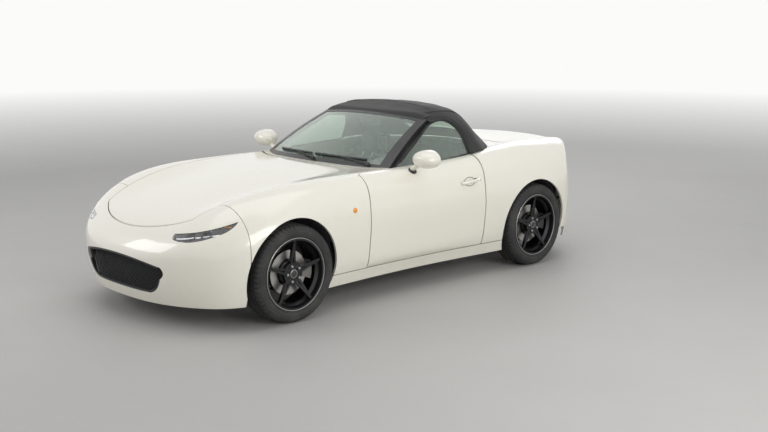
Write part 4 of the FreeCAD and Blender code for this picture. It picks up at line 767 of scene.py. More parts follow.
# %% [markdown]
# ## Seats
# A seat is foam in a sewn cover. Each pad starts as a rounded cage, is remeshed to small even squares,
# and is blown up by the cloth solver with a little pressure, with a cap on how far a point may move. That
# gives the crowned form that sewn foam has. Side bolsters are pads of their own, as they are on the real
# seat, so the channel between them and the middle is a true seam.

# %% Pads
def pad_cage(name, centre, size, turn, pinch=0.0, crown=0.0):
    """A rounded block with its local axes turned, as an object."""
    shape = bmesh.new()
    bmesh.ops.create_cube(shape, size=1.0)
    bmesh.ops.subdivide_edges(shape, edges=list(shape.edges), cuts=5, use_grid_fill=True)
    for vertex in shape.verts:
        x, y, z = vertex.co * 2
        edge = max(abs(x), abs(y))
        z *= 1.0 - 0.22 * edge ** 4 + crown * (1 - x * x)
        x *= 1.0 - 0.05 * y * y - pinch * (y + 1) / 2
        y *= 1.0 - 0.04 * x * x
        vertex.co = Vector((x * size[0], y * size[1], z * size[2])) / 2
    mesh = bpy.data.meshes.new(name)
    shape.to_mesh(mesh)
    shape.free()
    mesh.transform(Matrix.Translation(centre) @ turn.to_4x4())
    piece = bpy.data.objects.new(name, mesh)
    scene.collection.objects.link(piece)
    return piece


def blown(piece, voxel=0.012, pressure=4.0, cap=0.016):
    """Rounds the pad and blows it up, keeping each point within the cap."""
    smooth = piece.modifiers.new("round", "SUBSURF")
    smooth.levels = smooth.render_levels = 2
    remesh = piece.modifiers.new("even", "REMESH")
    remesh.mode = "VOXEL"
    remesh.voxel_size = voxel
    apply_modifiers(piece)
    start = [v.co.copy() for v in piece.data.vertices]
    cloth = piece.modifiers.new("foam", "CLOTH")
    cloth.settings.use_pressure = True
    cloth.settings.uniform_pressure_force = pressure
    cloth.settings.effector_weights.gravity = 0.0
    for number in range(1, 13):
        scene.frame_set(number)
    graph = bpy.context.evaluated_depsgraph_get()
    moved = piece.evaluated_get(graph).to_mesh()
    ends = [v.co.copy() for v in moved.vertices]
    piece.modifiers.clear()
    scene.frame_set(1)
    for vertex, a, b in zip(piece.data.vertices, start, ends):
        way = b - a
        vertex.co = a + (way * (cap / way.length) if way.length > cap else way)
    fine = piece.modifiers.new("fine", "SUBSURF")
    fine.levels = fine.render_levels = 1
    apply_modifiers(piece)
    return piece


seat_x, seat_front = 0.378, -0.0585
back_lean = math.radians(14.0)
upright = Matrix.Rotation(math.radians(90) - back_lean, 3, "X")
nearly_flat = Matrix.Rotation(math.radians(-4), 3, "X")


def bolster_turn(base, side, angle):
    return base @ Matrix.Rotation(math.radians(angle) * side, 3, "Y")


pads = [
    ("cushion_middle", (0.0, 0.215, 0.292), (0.270, 0.420, 0.105), nearly_flat, 0.0, 0.0),
    ("back_middle", (0.0, 0.530, 0.545), (0.262, 0.480, 0.072), upright, 0.06, 0.0),
    ("head_rest", (0.0, 0.622, 0.872), (0.200, 0.170, 0.060), upright, 0.12, 0.1),
]
for side, sign in both_sides:
    pads.append((f"cushion_{side}_roll", (sign * 0.176, 0.215, 0.302), (0.082, 0.430, 0.130),
                 bolster_turn(nearly_flat, sign, -14), 0.0, 0.1))
    pads.append((f"back_{side}_roll", (sign * 0.172, 0.512, 0.540), (0.078, 0.470, 0.105),
                 bolster_turn(upright, sign, -20), 0.10, 0.1))
for label, at, size, turn, pinch, crown in pads:
    spot = Vector((seat_x, seat_front, 0)) + Vector(at)
    piece = blown(pad_cage(f"{label}_left_seat", spot, size, turn, pinch, crown))
    material = trim_leather if "roll" in label or "rest" in label else cushion_cloth
    finish_piece(piece, "body", material)
    copy = bpy.data.objects.new(f"{label}_right_seat", piece.data.copy())
    copy.data.transform(Matrix.Translation((-2 * seat_x, 0, 0)))
    scene.collection.objects.link(copy)
    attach(copy, "body")

# %% [markdown]
# ## What carries the pads
# Behind and below the foam is a moulded shell on two rails. It could be one hollow bowl, but only its
# back and its lower edge are seen, so it is a smooth curved plate behind the back and a tray under the
# cushion. Two steel posts carry the head rest.

# %% Seat shells, trays, rails and posts
def seat_point(sign, x, y, z):
    return Vector((sign * seat_x + x, seat_front + y, z))


back_line = [(0.445, 0.26), (0.500, 0.30), (0.560, 0.50), (0.618, 0.72), (0.640, 0.80), (0.630, 0.815)]
for side, sign in both_sides:
    grid = []
    for y, z in back_line:
        narrow = 0.205 - 0.035 * max(0.0, (z - 0.3) / 0.5)
        grid.append([seat_point(sign, x, y + 0.012 - 0.030 * (abs(x) / 0.2) ** 3, z)
                     for x in spread(-narrow, narrow, 13)])
    sheet_over(f"seat_shell_{side}", grid, 0.012, "body", dash_black,
               lambda p: Vector((0, 0.97, -0.24)))
    tray = [seat_point(sign, 0, 0.235, 0.236)]
    soft_block(f"seat_tray_{side}", tray, (0.36, 0.44, 0.030), "body", dash_black, 0.012)
    rails = [seat_point(sign, x, 0.23, 0.196) for x in (-0.15, 0.15)]
    soft_block(f"seat_rails_{side}", rails, (0.036, 0.40, 0.042), "body", bare_steel, 0.004)
    posts = [[seat_point(sign, x, 0.585, 0.76), seat_point(sign, x, 0.612, 0.86)] for x in (-0.05, 0.05)]
    tube(f"head_rest_posts_{side}", posts, 0.006, "body", bare_steel, sides=12)
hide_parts("seats")
print("seat hardware placed")

# %% [markdown]
# ## Mouth and headlamps
# Behind the mouth is a black diamond mesh, made of two sets of slanting bars that follow the nose's curve
# in plan. A picture of a mesh would lie flat, so the bars are real: each is clipped to the mouth by
# asking whether its points lie inside the outline. Behind them stand a radiator with fins and a duct that
# leads the air to it, so that no light shows through the nose.

# %% The mouth's outline and the mesh's curve
nose_line_y, mesh_set_back = -1.9575, 0.052
mouth_middle, radiator_y = 0.326, -1.800
mouth = [(-0.412, 0.386), (-0.20, 0.420), (0.0, 0.428), (0.20, 0.420), (0.412, 0.386), (0.428, 0.360),
         (0.402, 0.318), (0.345, 0.246), (0.296, 0.226), (-0.296, 0.226), (-0.345, 0.246), (-0.402, 0.318),
         (-0.428, 0.360)]


def in_mouth(x, z):
    """Counts how often a level line from the point crosses the outline."""
    inside = False
    for (x0, z0), (x1, z1) in zip(mouth, mouth[1:] + mouth[:1]):
        if (z0 > z) != (z1 > z) and x < (x1 - x0) * (z - z0) / (z1 - z0) + x0:
            inside = not inside
    return inside


def mesh_y(x):
    return nose_line_y + mesh_set_back + 0.335 * (abs(x) / 0.82) ** 2.7


print("mesh from", round(mesh_y(0), 3), "to", round(mesh_y(mouth[4][0]), 3))

# %% Bars and rim of the mesh
mesh_slope, bar_radius = 1.25, 0.0026
bars = []
for slope in (mesh_slope, -mesh_slope):
    for offset in spread(-0.66, 0.66, 45):
        crossing = [(offset + slope * (z - mouth_middle), z) for z in spread(0.222, 0.430, 27)]
        run = [Vector((x, mesh_y(x), z)) for x, z in crossing if in_mouth(x, z)]
        if len(run) > 2:
            bars.append(run)
tube("mouth_mesh", bars, bar_radius, "body", black_plastic, sides=6, flat=0.7)
mesh_rim = [Vector((x, mesh_y(x) - 0.004, z)) for x, z in mouth]
tube("mouth_mesh_rim", [mesh_rim], 0.007, "body", gloss_black, closed=True, sides=8)
print("bars in the mesh", len(bars))

# %% Radiator and duct
soft_block("radiator", [(0, radiator_y + 0.020, 0.324)], (0.840, 0.034, 0.196), "body", chassis_black,
           0.004)
fins = [[Vector((x, radiator_y, z)) for z in (0.232, 0.415)] for x in spread(-0.300, 0.300, 76)]
tube("radiator_fins", fins, 0.0014, "body", black_plastic, sides=5)
duct = []
for share in spread(0, 1, 4):
    ring = []
    for x, z in mouth + mouth[:1]:
        front_y = mesh_y(x) + 0.012
        y = front_y + (radiator_y + 0.004 - front_y) * share
        ring.append(Vector((x * 0.99, y, mouth_middle + (z - mouth_middle) * (0.99 - 0.06 * share))))
    duct.append(ring)
sheet_over("mouth_duct", duct, 0.003, "body", satin_black,
           lambda p: -Vector((p.x * 0.4, 0, p.z - mouth_middle)).normalized())
print("fins", len(fins), "duct rings", len(duct))

# %% [markdown]
# ## Lamps at the front
# Behind each clear cover stand two projector lenses in bright rings, with a light strip along the lower
# edge and an amber lamp at the outer end. Turned profiles make the round parts. The strips are tubes on
# points where rays from ahead land on the dark lamp unit, so they follow it. The lamps are off; the
# strips' weak glow is painted light that makes the lamp units read paler.

# %% Lenses, rings, light strips and turn lamps
def mottled(name, scale, first, second, **sockets):
    """A finish whose colour drifts between two near shades."""
    f = Finish(name)
    return f.set(Base_Color=f.mix(f.noise(scale), colour(*first), colour(*second)), **sockets).material


bowls = ((0.560, 0.580, -1.6895), (0.640, 0.600, -1.6395))
lens_glass = pane("projector_lens", 0.80, 0.86, 0.92, 0.6, 0.02)
strip_light = Finish("light_strip")
# The lamps are off: the strips' weak emission is painted light that keeps the lamp units pale.
strip_light.set(Base_Color=colour(0.92, 0.93, 0.95), Roughness=0.25, Emission_Strength=0.35)
painted_strip_glow = strip_light.mix(strip_light.noise(60.0), colour(0.9, 0.93, 1.0), colour(1, 1, 1))
strip_light.set(Emission_Color=painted_strip_glow)
amber = mottled("amber_lens", 90.0, (0.80, 0.26, 0.02), (0.9, 0.38, 0.05), Roughness=0.12)
lens_dome = [(0.0, 0.0), (0.0185, 0.0), (0.0185, 0.006), (0.0165, 0.012), (0.0110, 0.0175), (0.0, 0.0200)]
lens_ring = [(0.0190, 0.0), (0.0235, 0.0), (0.0235, 0.020), (0.0222, 0.024), (0.0200, 0.014), (0.0190, 0.010)]
backwards, forwards = (0, 1, 0), (0, -1, 0)
for side, sign in both_sides:
    spots = [Vector((sign * x, y - 0.004, z)) for x, z, y in bowls]
    turned(f"projector_lenses_{side}", lens_dome, spots, forwards, "body", lens_glass, 32,
           closed=False)
    turned(f"lens_rings_{side}", lens_ring, spots, forwards, "body", chrome, 40)
    lower_edge = [(x, 0.564 + 0.036 * ((x - 0.48) / 0.24) ** 1.4) for x in spread(0.482, 0.715, 22)]
    strip = landed("lamp_units", [(sign * x, -behind, z) for x, z in lower_edge], backwards, -0.0005)
    tube(f"light_strip_{side}", [strip], 0.0038, "body", strip_light.material)
    starts = [(sign * x, -behind, 0.640) for x in spread(0.700, 0.726, 5)]
    blink = landed("lamp_units", starts, backwards, -0.0020)
    tube(f"turn_lamp_{side}", [blink], 0.0075, "body", amber, flat=0.5)
    print(side, "strip points", len(strip), "turn lamp points", len(blink))

# %% [markdown]
# ## Seals round the glass
# Between glass, pillar and cloth there is always rubber. Without it the gaps look like mistakes. The edge
# of the pane is found by stepping rays, then a tube is laid along it. Seals that touch a door but stay on
# the body when it opens ride on the body, and the strip in the door's top edge rides on the door.

# %% Where the pane and the pillar end
def pane_edge(node, sign, z, y_from, y_to):
    """The first of many level rays that meets the pane."""
    return next((y for y in spread(y_from, y_to, 120) if from_side(node, sign, y, z)), None)


def frame_edge(sign, z):
    """The windscreen pillar's rear outer edge at a height."""
    found = None
    for y in spread(-0.46, 0.28, 149):
        spot = from_side("windscreen_frame", sign, y, z)
        if spot:
            found = spot[0]
        elif found is not None:
            break
    return found


print("pillar edge at 0.9 m", [round(value, 3) for value in frame_edge(1, 0.9)])

# %% The outline of each door window
outlines = {}
for side, sign in both_sides:
    glass = f"door_glass_{side}"
    low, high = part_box(glass)
    front, rear, roof = [], [], []
    for z in spread(low.z + 0.030, high.z - 0.010, 24):
        y = pane_edge(glass, sign, z, low.y - 0.01, high.y)
        if y is not None:
            x = from_side(glass, sign, y + 0.003, z)[0].x
            front.append(Vector((x - sign * 0.002, y - 0.006, z)))
        y = pane_edge(glass, sign, z, high.y + 0.01, low.y)
        if y is not None and y - (front[-1].y if front else low.y) > 0.10:
            x = from_side(glass, sign, y - 0.003, z)[0].x
            rear.append(Vector((x - sign * 0.001, y + 0.004, z)))
    front, rear = smoothed(front), smoothed(rear)
    heights = spread(high.z + 0.004, low.z + 0.10, 120)
    for y in spread(front[-1].y + 0.012, high.y - 0.004, 30):
        z = next((z for z in heights if from_side(glass, sign, y, z)), None)
        if z is not None:
            x = from_side(glass, sign, y, z - 0.002)[0].x
            roof.append(Vector((x - sign * 0.004, y, z + 0.004)))
    outlines[side] = (front, rear, roof)
    print(side, "outline points", len(front), len(rear), len(roof))

# %% Pillar covers with a seal along the glass
belt_height, belt_x = 0.885, 0.6555
for side, sign in both_sides:
    front = outlines[side][0]
    slope = front[5] - front[0]
    foot = [front[0] + slope * share for share in (-1.6, -1.2, -0.8, -0.4)]
    cover = []
    for p in foot + front:
        edge = frame_edge(sign, p.z)
        if edge is None:
            continue
        if p.z < belt_height:
            p = Vector((sign * min(abs(p.x), belt_x), p.y, p.z))
        start = edge + Vector((-sign * 0.002, -0.004, 0))
        end = p + Vector((sign * 0.003, 0.002, 0))
        cover.append([start.lerp(end, share) for share in spread(0, 1, 5)])
    cover = even_columns(cover, 6)
    sheet_over(f"pillar_cover_{side}", cover, 0.005, "body", satin_black)
    tube(f"pillar_seal_{side}", [front], 0.0070, "body", seal_rubber, sides=10)
    print(side, "pillar cover rows", len(cover))

# %% Seals and cloth bindings over the windows
window_middle = Vector((0, 0.150, 0.900))
binding_width = 0.036
for side, sign in both_sides:
    front, rear, roof = outlines[side]
    lower_rear = [p for p in reversed(rear) if p.z < roof[-1].z - 0.01]
    over_window = smoothed([front[-1]] + roof + lower_rear, 3)
    tube(f"hood_seal_{side}", [over_window], 0.0075, "body", seal_rubber, sides=10)
    corner = front[-1] + Vector((-sign * 0.014, 0.006, 0.009))
    soft_block(f"corner_seal_{side}", [corner], (0.046, 0.052, 0.020), "body", seal_rubber,
               0.006)
    binding = []
    for p in over_window[1:]:
        away = Vector((0, p.y - window_middle.y, p.z - window_middle.z)).normalized()
        on_cloth = p + away * binding_width
        spot = from_side("soft_top", sign, on_cloth.y, on_cloth.z)
        if spot:
            outer = spot[0] + Vector((sign * 0.003, 0, 0))
            binding.append([p.lerp(outer, share) for share in (-0.05, 0.3, 0.65, 1.0)])
    outward = Vector((sign, 0, 0.2)).normalized()
    sheet_over(f"window_binding_{side}", even_columns(binding, 4), 0.004, "body", canvas_black,
               lambda p: outward)
    print(side, "binding rows", len(binding))

# %% Seals in the doors' upper edges
for side, sign in both_sides:
    glass, door = f"door_glass_{side}", f"door_{side}"
    low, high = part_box(glass)
    belt = []
    for y in spread(outlines[side][0][0].y + 0.02, high.y - 0.012, 40):
        hit = from_side(glass, sign, y, low.z + 0.045)
        ground = from_above(door, hit[0].x + sign * 0.010, y) if hit else None
        if ground:
            belt.append(Vector((hit[0].x + sign * 0.0065, y, ground[0].z + 0.0035)))
    tube(f"belt_seal_{side}", [belt], 0.0062, door, seal_rubber, flat=0.9)
    print(side, "belt seal points", len(belt))

# %% [markdown]
# ## Cloth over the header, rubber at the cowl
# At the front the cloth is pulled over the windscreen's header and tucked under. A band of five points in
# section, laid from the frame up onto the cloth, closes that joint. Rubber strips do the same between the
# bonnet and the cowl. They stay a little below the bonnet, which swings up past them.

# %% Band over the header
def first_cloth(x):
    """The foremost place where a ray from above meets the cloth."""
    return next((y for y in spread(0.10, 0.40, 151) if on_top(x, y)), None)


band = []
for x in spread(-0.535, 0.535, 54):
    front_y = first_cloth(x)
    if front_y is None:
        continue
    start = from_above("windscreen_frame", x, front_y - 0.020)
    near, ahead = on_top(x, front_y + 0.012, 0.0060), on_top(x, front_y + 0.052, 0.0022)
    if start is None or near is None or ahead is None:
        continue
    start = start[0] + Vector((0, 0, 0.0012))
    crest = start.lerp(near, 0.5) + Vector((0, 0, 0.0030))
    band.append([start, crest, near, near.lerp(ahead, 0.5), ahead])
sheet_over("header_band", even_columns(band, 5), 0.0035, "body", canvas_black,
           lambda p: Vector((0, 0, 1)))
print("header band points", len(band))

# %% Rubber under the bonnet's edges and beside the cowl
for side, sign in both_sides:
    run = []
    for y in spread(-0.445, -0.235, 22):
        spot = from_above("bonnet", sign * 0.640, y) or from_above("cowl", sign * 0.643, y)
        if spot:
            run.append(Vector((sign * 0.6565, y, spot[0].z - 0.014)))
    tube(f"cowl_side_seal_{side}", [run], 0.0045, "body", seal_rubber, flat=2.2)
cowl_run = []
for x in spread(-0.60, 0.60, 49):
    bonnet_end = -0.4795 + 0.176 * (x / 0.648) ** 2
    spot = from_above("cowl", x, bonnet_end + 0.030)
    if spot:
        cowl_run.append(Vector((x, bonnet_end + 0.0170, spot[0].z - 0.0225)))
tube("cowl_seal", [cowl_run], 0.0034, "body", seal_rubber)
print("cowl seal points", len(cowl_run))

# %% [markdown]
# ## Door handles, locks, mirrors and side lamps
# A pull handle is a flattened bow that stands on the door at both ends. Its grip is in the paint, its
# feet are black, and a dark line round it is painted shade, marking the recess for the fingers. The
# mirror's glass is an ellipse let into the flat back of the shell, with a dark rim round it. All of them
# ride on the door.

# %% Handles and locks
for side, sign in both_sides:
    door = f"door_{side}"
    inward = Vector((-sign, 0, 0))
    grip = []
    for share in spread(0.0, 1.0, 25):
        spot = from_side(door, sign, 0.315 + 0.165 * share, 0.705 + 0.012 * share)
        lift = 0.026 * min(1.0, 4.2 * share, 4.2 * (1 - share)) ** 0.6
        if spot:
            grip.append(spot[0] - inward * lift)
    tube(f"door_handle_{side}", [grip], 0.0100, door, paint, flat=1.25, sides=14)
    feet = [[grip[k] + inward * 0.026, grip[k] + inward * 0.004] for k in (3, -4)]
    tube(f"handle_feet_{side}", feet, 0.0125, door, black_plastic, sides=16)
    # The dark ring round the handle is painted shade that marks the recess for the fingers.
    oval = [(sign * beside, 0.3975 + 0.052 * math.cos(a), 0.709 + 0.030 * math.sin(a)) for a in circle(40)]
    bowl_shade_line = landed(door, oval, inward, 0.0002)
    tube(f"handle_bowl_shade_{side}", [bowl_shade_line], 0.0022, door, gloss_black, closed=True)
    lock, outward = from_side(door, sign, 0.505, 0.715)
    barrel = [(0.0, 0.0), (0.0105, 0.0), (0.0105, 0.0022), (0.0085, 0.0034), (0.0, 0.0034)]
    turned(f"door_lock_{side}", barrel, lock, outward, door, chrome, 28, closed=False)
    print(side, "grip points", len(grip), "bowl points", len(bowl_shade_line))

# %% Mirrors
def ellipse_plate(name, centre, half_x, half_z, thick, body, material):
    """An oval plate that faces backwards, with a softened rim."""
    points, faces = [], []
    steps = 64
    levels = ((0.0, 1.0), (thick * 0.6, 1.0), (thick, 0.96), (thick, 0.55))
    for y, share in levels:
        for a in circle(steps):
            across, up = half_x * share * math.cos(a), half_z * share * math.sin(a)
            points.append(Vector(centre) + Vector((across, y, up)))
    for row in range(len(levels) - 1):
        for k in range(steps):
            m = (k + 1) % steps
            faces.append((row * steps + k, row * steps + m, (row + 1) * steps + m, (row + 1) * steps + k))
    faces.append(tuple(range(steps)))
    faces.append(tuple(3 * steps + k for k in reversed(range(steps))))
    return mesh_piece(name, points, faces, body, material)


mirror_x, mirror_z = 0.866, 0.916
for side, sign in both_sides:
    door = f"door_{side}"
    mirror_low, mirror_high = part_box(f"mirror_{side}")
    back = Vector((sign * mirror_x, mirror_high.y, mirror_z))
    ellipse_plate(f"mirror_rim_{side}", back - Vector((0, 0.001, 0)), 0.0965, 0.0605, 0.004, door,
                  black_plastic)
    ellipse_plate(f"mirror_glass_{side}", back + Vector((0, 0.0008, 0)), 0.0880, 0.0530, 0.0040, door,
                  mirror_glass)
    foot, outward = from_above(door, sign * 0.742, -0.0945)
    foot_profile = [(0.0, -0.002), (0.030, -0.002), (0.030, 0.005), (0.024, 0.010), (0.0, 0.010)]
    turned(f"mirror_foot_{side}", foot_profile, foot, outward, door, black_plastic, 36,
           closed=False)
    print(side, "mirror", round(mirror_high.y - mirror_low.y, 3), "deep")

# %% Side turn lamps
for side, sign in both_sides:
    place, outward = from_side("front_wings", sign, -0.690, 0.640)
    dome = [(0.0, 0.0), (0.0170, 0.0), (0.0165, 0.003), (0.0120, 0.0058), (0.0, 0.0070)]
    turned(f"side_turn_lamp_{side}", dome, place, outward, "body", amber, 32, closed=False)
    print(side, "turn lamp at", [round(value, 3) for value in place])

# %% [markdown]
# ## Tail
# The tail lamps are red glass over round chambers. A ring and a lens in each chamber tell that apart from
# red paint. The plate is blank, in a black holder with its two bolts. A strip lamp sits in the lid's
# upper edge.

# %% Tail lamps and reflectors
red_glass = Finish("tail_red")
x, y, z = red_glass.axis(0), red_glass.axis(1), red_glass.axis(2)
ribs = (x * 900.0).wave() * (z * 900.0).wave()
tail_tint = red_glass.mix(red_glass.noise(30.0), colour(0.42, 0.010, 0.012), colour(0.60, 0.02, 0.02))
red_glass.set(Base_Color=tail_tint, Roughness=0.10 + ribs * 0.04, Coat_Weight=1.0, Coat_Roughness=0.03)
red_glass.bump(ribs, 0.0006, 0.5)
dress("tail_lamps", red_glass.material)
bright_red = mottled("lamp_chamber", 160.0, (0.85, 0.05, 0.04), (0.7, 0.03, 0.03), Roughness=0.15,
                     Coat_Weight=1.0, Coat_Roughness=0.04)
white_lens = mottled("reversing_lens", 160.0, (0.85, 0.85, 0.86), (0.72, 0.73, 0.75), Roughness=0.12,
                     Coat_Weight=1.0, Coat_Roughness=0.04)
chamber_height = 0.708
chambers = (("brake", 0.668, 0.030, bright_red), ("turn", 0.610, 0.022, bright_red),
            ("reverse", 0.712, 0.013, white_lens))
for side, sign in both_sides:
    for label, chamber_x, size, material in chambers:
        spot = from_behind("tail_lamps", sign * chamber_x, chamber_height)
        if spot is None:
            continue
        place, outward = spot
        ring = [(size * 0.82, -0.002), (size, -0.002), (size, 0.0010), (size * 0.92, 0.0018),
                (size * 0.82, 0.0010)]
        turned(f"{label}_ring_{side}", ring, place, outward, "body", chrome, 48)
        dome = [(0.0, -0.002), (size * 0.80, -0.002), (size * 0.80, 0.0006), (size * 0.5, 0.0022),
                (0.0, 0.0028)]
        turned(f"{label}_lens_{side}", dome, place, outward, "body", material, 48, closed=False)
    starts = [(sign * x, behind, 0.300) for x in spread(0.560, 0.660, 9)]
    reflector = landed("rear_bumper", starts, forwards, 0.0010)
    tube(f"rear_reflector_{side}", [reflector], 0.0110, "body", bright_red)
    print(side, "reflector points", len(reflector))

# %% Blank plate
plate_y, plate_z = 1.9155, 0.455
blank_plate = Finish("blank_plate")
plate_tint = blank_plate.mix(blank_plate.noise(40.0), colour(0.74, 0.74, 0.70), colour(0.8, 0.8, 0.77))
blank_plate.set(Base_Color=plate_tint, Roughness=0.35 + blank_plate.noise(9.0) * 0.1, Coat_Weight=0.3)
soft_block("plate_holder", [(0, plate_y + 0.0035, plate_z)], (0.524, 0.006, 0.116), "body", black_plastic,
           0.0025)
soft_block("blank_plate", [(0, plate_y + 0.0080, plate_z)], (0.516, 0.003, 0.108), "body",
           blank_plate.material, 0.0012)
bolt = [(0.0, 0.0), (0.0065, 0.0), (0.0065, 0.002), (0.0045, 0.0036), (0.0, 0.004)]
bolt_spots = [Vector((sign * 0.089, plate_y + 0.0095, plate_z)) for side, sign in both_sides]
turned("plate_bolts", bolt, bolt_spots, backwards, "body", bare_steel, 24, closed=False)
print("plate bolts", len(bolt_spots))

# %% Strip lamp and grab on the lid
strip_lamp = landed("boot_lid", [(x, behind, 0.842) for x in spread(-0.130, 0.130, 15)], forwards, 0.0005)
tube("high_brake_lamp", [strip_lamp], 0.0075, "boot_lid", bright_red, flat=0.45)
grab = landed("boot_lid", [(x, behind, 0.668) for x in spread(-0.075, 0.075, 11)], forwards, 0.0005)
tube("lid_grab", [grab], 0.0085, "boot_lid", black_plastic)
print("strip lamp points", len(strip_lamp), "grab points", len(grab))

# %% Exhaust tips, fuel flap and aerial
tip_ring = [(0.0345, -0.030), (0.0392, -0.030), (0.0392, 0.0010), (0.0380, 0.0030), (0.0352, 0.0030),
            (0.0345, 0.0)]
tip_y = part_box("exhaust")[1].y - 0.002
tip_spots = [Vector((x, tip_y, 0.222)) for x in (-0.400, -0.300)]
turned("tip_rings", tip_ring, tip_spots, backwards, "body", chrome, 48)
flap_y, flap_z, flap_radius = 1.335, 0.742, 0.072
flap = [(-beside, flap_y + flap_radius * math.cos(a), flap_z + flap_radius * math.sin(a))
        for a in circle(64)]
flap_line = landed("rear_quarters", flap, (1, 0, 0), -0.0004)
tube("fuel_flap_line", [flap_line], 0.0016, "body", seal_rubber, closed=True, sides=6)
mast, outward = from_above("rear_quarters", -0.640, 1.10)
mast_base = [(0.0, -0.002), (0.017, -0.002), (0.015, 0.010), (0.006, 0.020), (0.0, 0.020)]
turned("aerial_base", mast_base, mast, outward, "body", black_plastic, 28, closed=False)
aerial = [mast + Vector((0, 0.001, 0.014)), mast + Vector((-0.004, 0.060, 0.200))]
tube("aerial", [aerial], 0.0026, "body", seal_rubber)
print("flap line points", len(flap_line), "aerial at", [round(value, 3) for value in mast])

# %% [markdown]
# ## Cabin
# The cabin is seen through the glass and when a door is open. The dashboard carries three round dials
# under a hood, round air vents, a small screen and a lid for the glove box. Every piece is set down by a
# ray that asks where the dashboard's face is, so nothing floats.

# %% Dials
dial_face = mottled("dial_face", 200.0, (0.012, 0.013, 0.015), (0.03, 0.03, 0.034), Roughness=0.35,
                    Coat_Weight=0.6, Coat_Roughness=0.08)
dial_mark = mottled("dial_marks", 80.0, (0.75, 0.76, 0.78), (0.9, 0.9, 0.9), Roughness=0.5)
needle_red = mottled("needle_red", 80.0, (0.7, 0.04, 0.02), (0.8, 0.1, 0.04), Roughness=0.4)
driver_x, dial_height = 0.378, 0.720


def on_dash(x, z):
    return land("dashboard", (x, 0.35, z), (0, -1, 0))


def dial_way(degrees):
    """From a dial's middle to its rim, clockwise from the driver's left."""
    a = math.radians(degrees)
    return Vector((-math.cos(a), 0, math.sin(a)))


dial_spots = []
for x, size in ((driver_x, 0.052), (0.482, 0.040), (0.274, 0.040)):
    place = on_dash(x, dial_height)[0]
    dial_spots.append(place)
    number = len(dial_spots)
    ring = [(size * 0.90, -0.004), (size, -0.004), (size, 0.010), (size * 0.96, 0.014), (size * 0.90, 0.006)]
    turned(f"dial_ring_{number}", ring, place, backwards, "body", chrome, 48)
    disc = [(0.0, -0.004), (size * 0.91, -0.004), (size * 0.91, 0.002), (0.0, 0.002)]
    turned(f"dial_disc_{number}", disc, place, backwards, "body", dial_face, 48,
           closed=False)
    ticks = []
    for k in range(11):
        way = dial_way(225 - 27 * k)
        start = place + way * size * 0.68 + Vector((0, 0.0026, 0))
        ticks.append([start, start + way * size * 0.14])
    tube(f"dial_marks_{number}", ticks, 0.0009, "body", dial_mark, sides=6)
    pivot = place + Vector((0, 0.0034, 0))
    needle = [pivot, pivot + dial_way(160) * size * 0.66]
    tube(f"dial_needle_{number}", [needle], 0.0012, "body", needle_red, sides=6)
print("dials", len(dial_spots))

# %% Hood over the dials
face_y = max(place.y for place in dial_spots)
hood_rows = []
for y in (face_y - 0.012, face_y + 0.018, face_y + 0.044):
    row = []
    for share in spread(0, 1, 25):
        a = math.pi * share
        row.append(Vector((driver_x + 0.172 * math.cos(a), y, 0.722 + 0.070 * math.sin(a) ** 0.7)))
    hood_rows.append(row)
sheet_over("dial_hood", hood_rows, 0.005, "body", dash_black)
print("hood rows", len(hood_rows))

# %% Air vents
vent_size = 0.034
vents = (("left_end", 0.588, 0.715), ("right_end", -0.588, 0.715),
         ("middle_left", 0.082, 0.690), ("middle_right", -0.082, 0.690))
vent_ring = [(vent_size * 0.86, -0.004), (vent_size, -0.004), (vent_size, 0.004), (vent_size * 0.94, 0.008),
             (vent_size * 0.86, 0.004)]
vent_back = [(0.0, -0.004), (vent_size * 0.88, -0.004), (vent_size * 0.88, -0.001), (0.0, -0.001)]
for label, x, z in vents:
    place = on_dash(x, z)[0]
    turned(f"vent_ring_{label}", vent_ring, place, backwards, "body", chrome, 48)
    turned(f"vent_back_{label}", vent_back, place, backwards, "body", black_plastic, 40,
           closed=False)
    slats = []
    for step in (-2, -1, 0, 1, 2):
        dz = step * vent_size * 0.32
        half = math.sqrt((vent_size * 0.86) ** 2 - dz * dz)
        slats.append([place + Vector((-half, 0.001, dz)), place + Vector((half, 0.001, dz))])
    tube(f"vent_slats_{label}", slats, 0.0020, "body", gloss_black, sides=6)
print("vents", len(vents))

# %% Screen and glove box
height = from_above("dashboard", 0.0, -0.20)[0].z
soft_block("map_screen", [(0, -0.172, height + 0.045)], (0.190, 0.012, 0.096), "body", gloss_black,
           0.005)
soft_block("map_screen_face", [(0, -0.1652, height + 0.046)], (0.176, 0.0016, 0.082), "body", dial_face,
           0.0008)
soft_block("map_screen_foot", [(0, -0.180, height - 0.002)], (0.060, 0.026, 0.014), "body", black_plastic,
           0.004)
lid = [(-0.24, 0.560), (-0.24, 0.660), (-0.54, 0.660), (-0.54, 0.560)]
lid_run = []
for (x0, z0), (x1, z1) in zip(lid, lid[1:] + lid[:1]):
    for share in spread(0, 1, 9)[:-1]:
        spot = on_dash(x0 + (x1 - x0) * share, z0 + (z1 - z0) * share)
        if spot:
            lid_run.append(spot[0] + Vector((0, 0.0003, 0)))
tube("glove_box_line", [lid_run], 0.0016, "body", seal_rubber, closed=True, sides=6)
latch = on_dash(-0.39, 0.645)[0] + Vector((0, 0.004, 0))
soft_block("glove_box_latch", [latch], (0.070, 0.012, 0.016), "body", gloss_black, 0.004)
print("screen stands at", round(height, 3), "and the lid's line has", len(lid_run), "points")

# %% [markdown]
# ## Steering wheel, console, mirror and visors
# The wheel's pad hides the horn, and its spokes carry two groups of buttons. These pieces ride on the
# steering wheel's body, so they turn with it. The lever stands in a leather gaiter: a cone of soft folds.

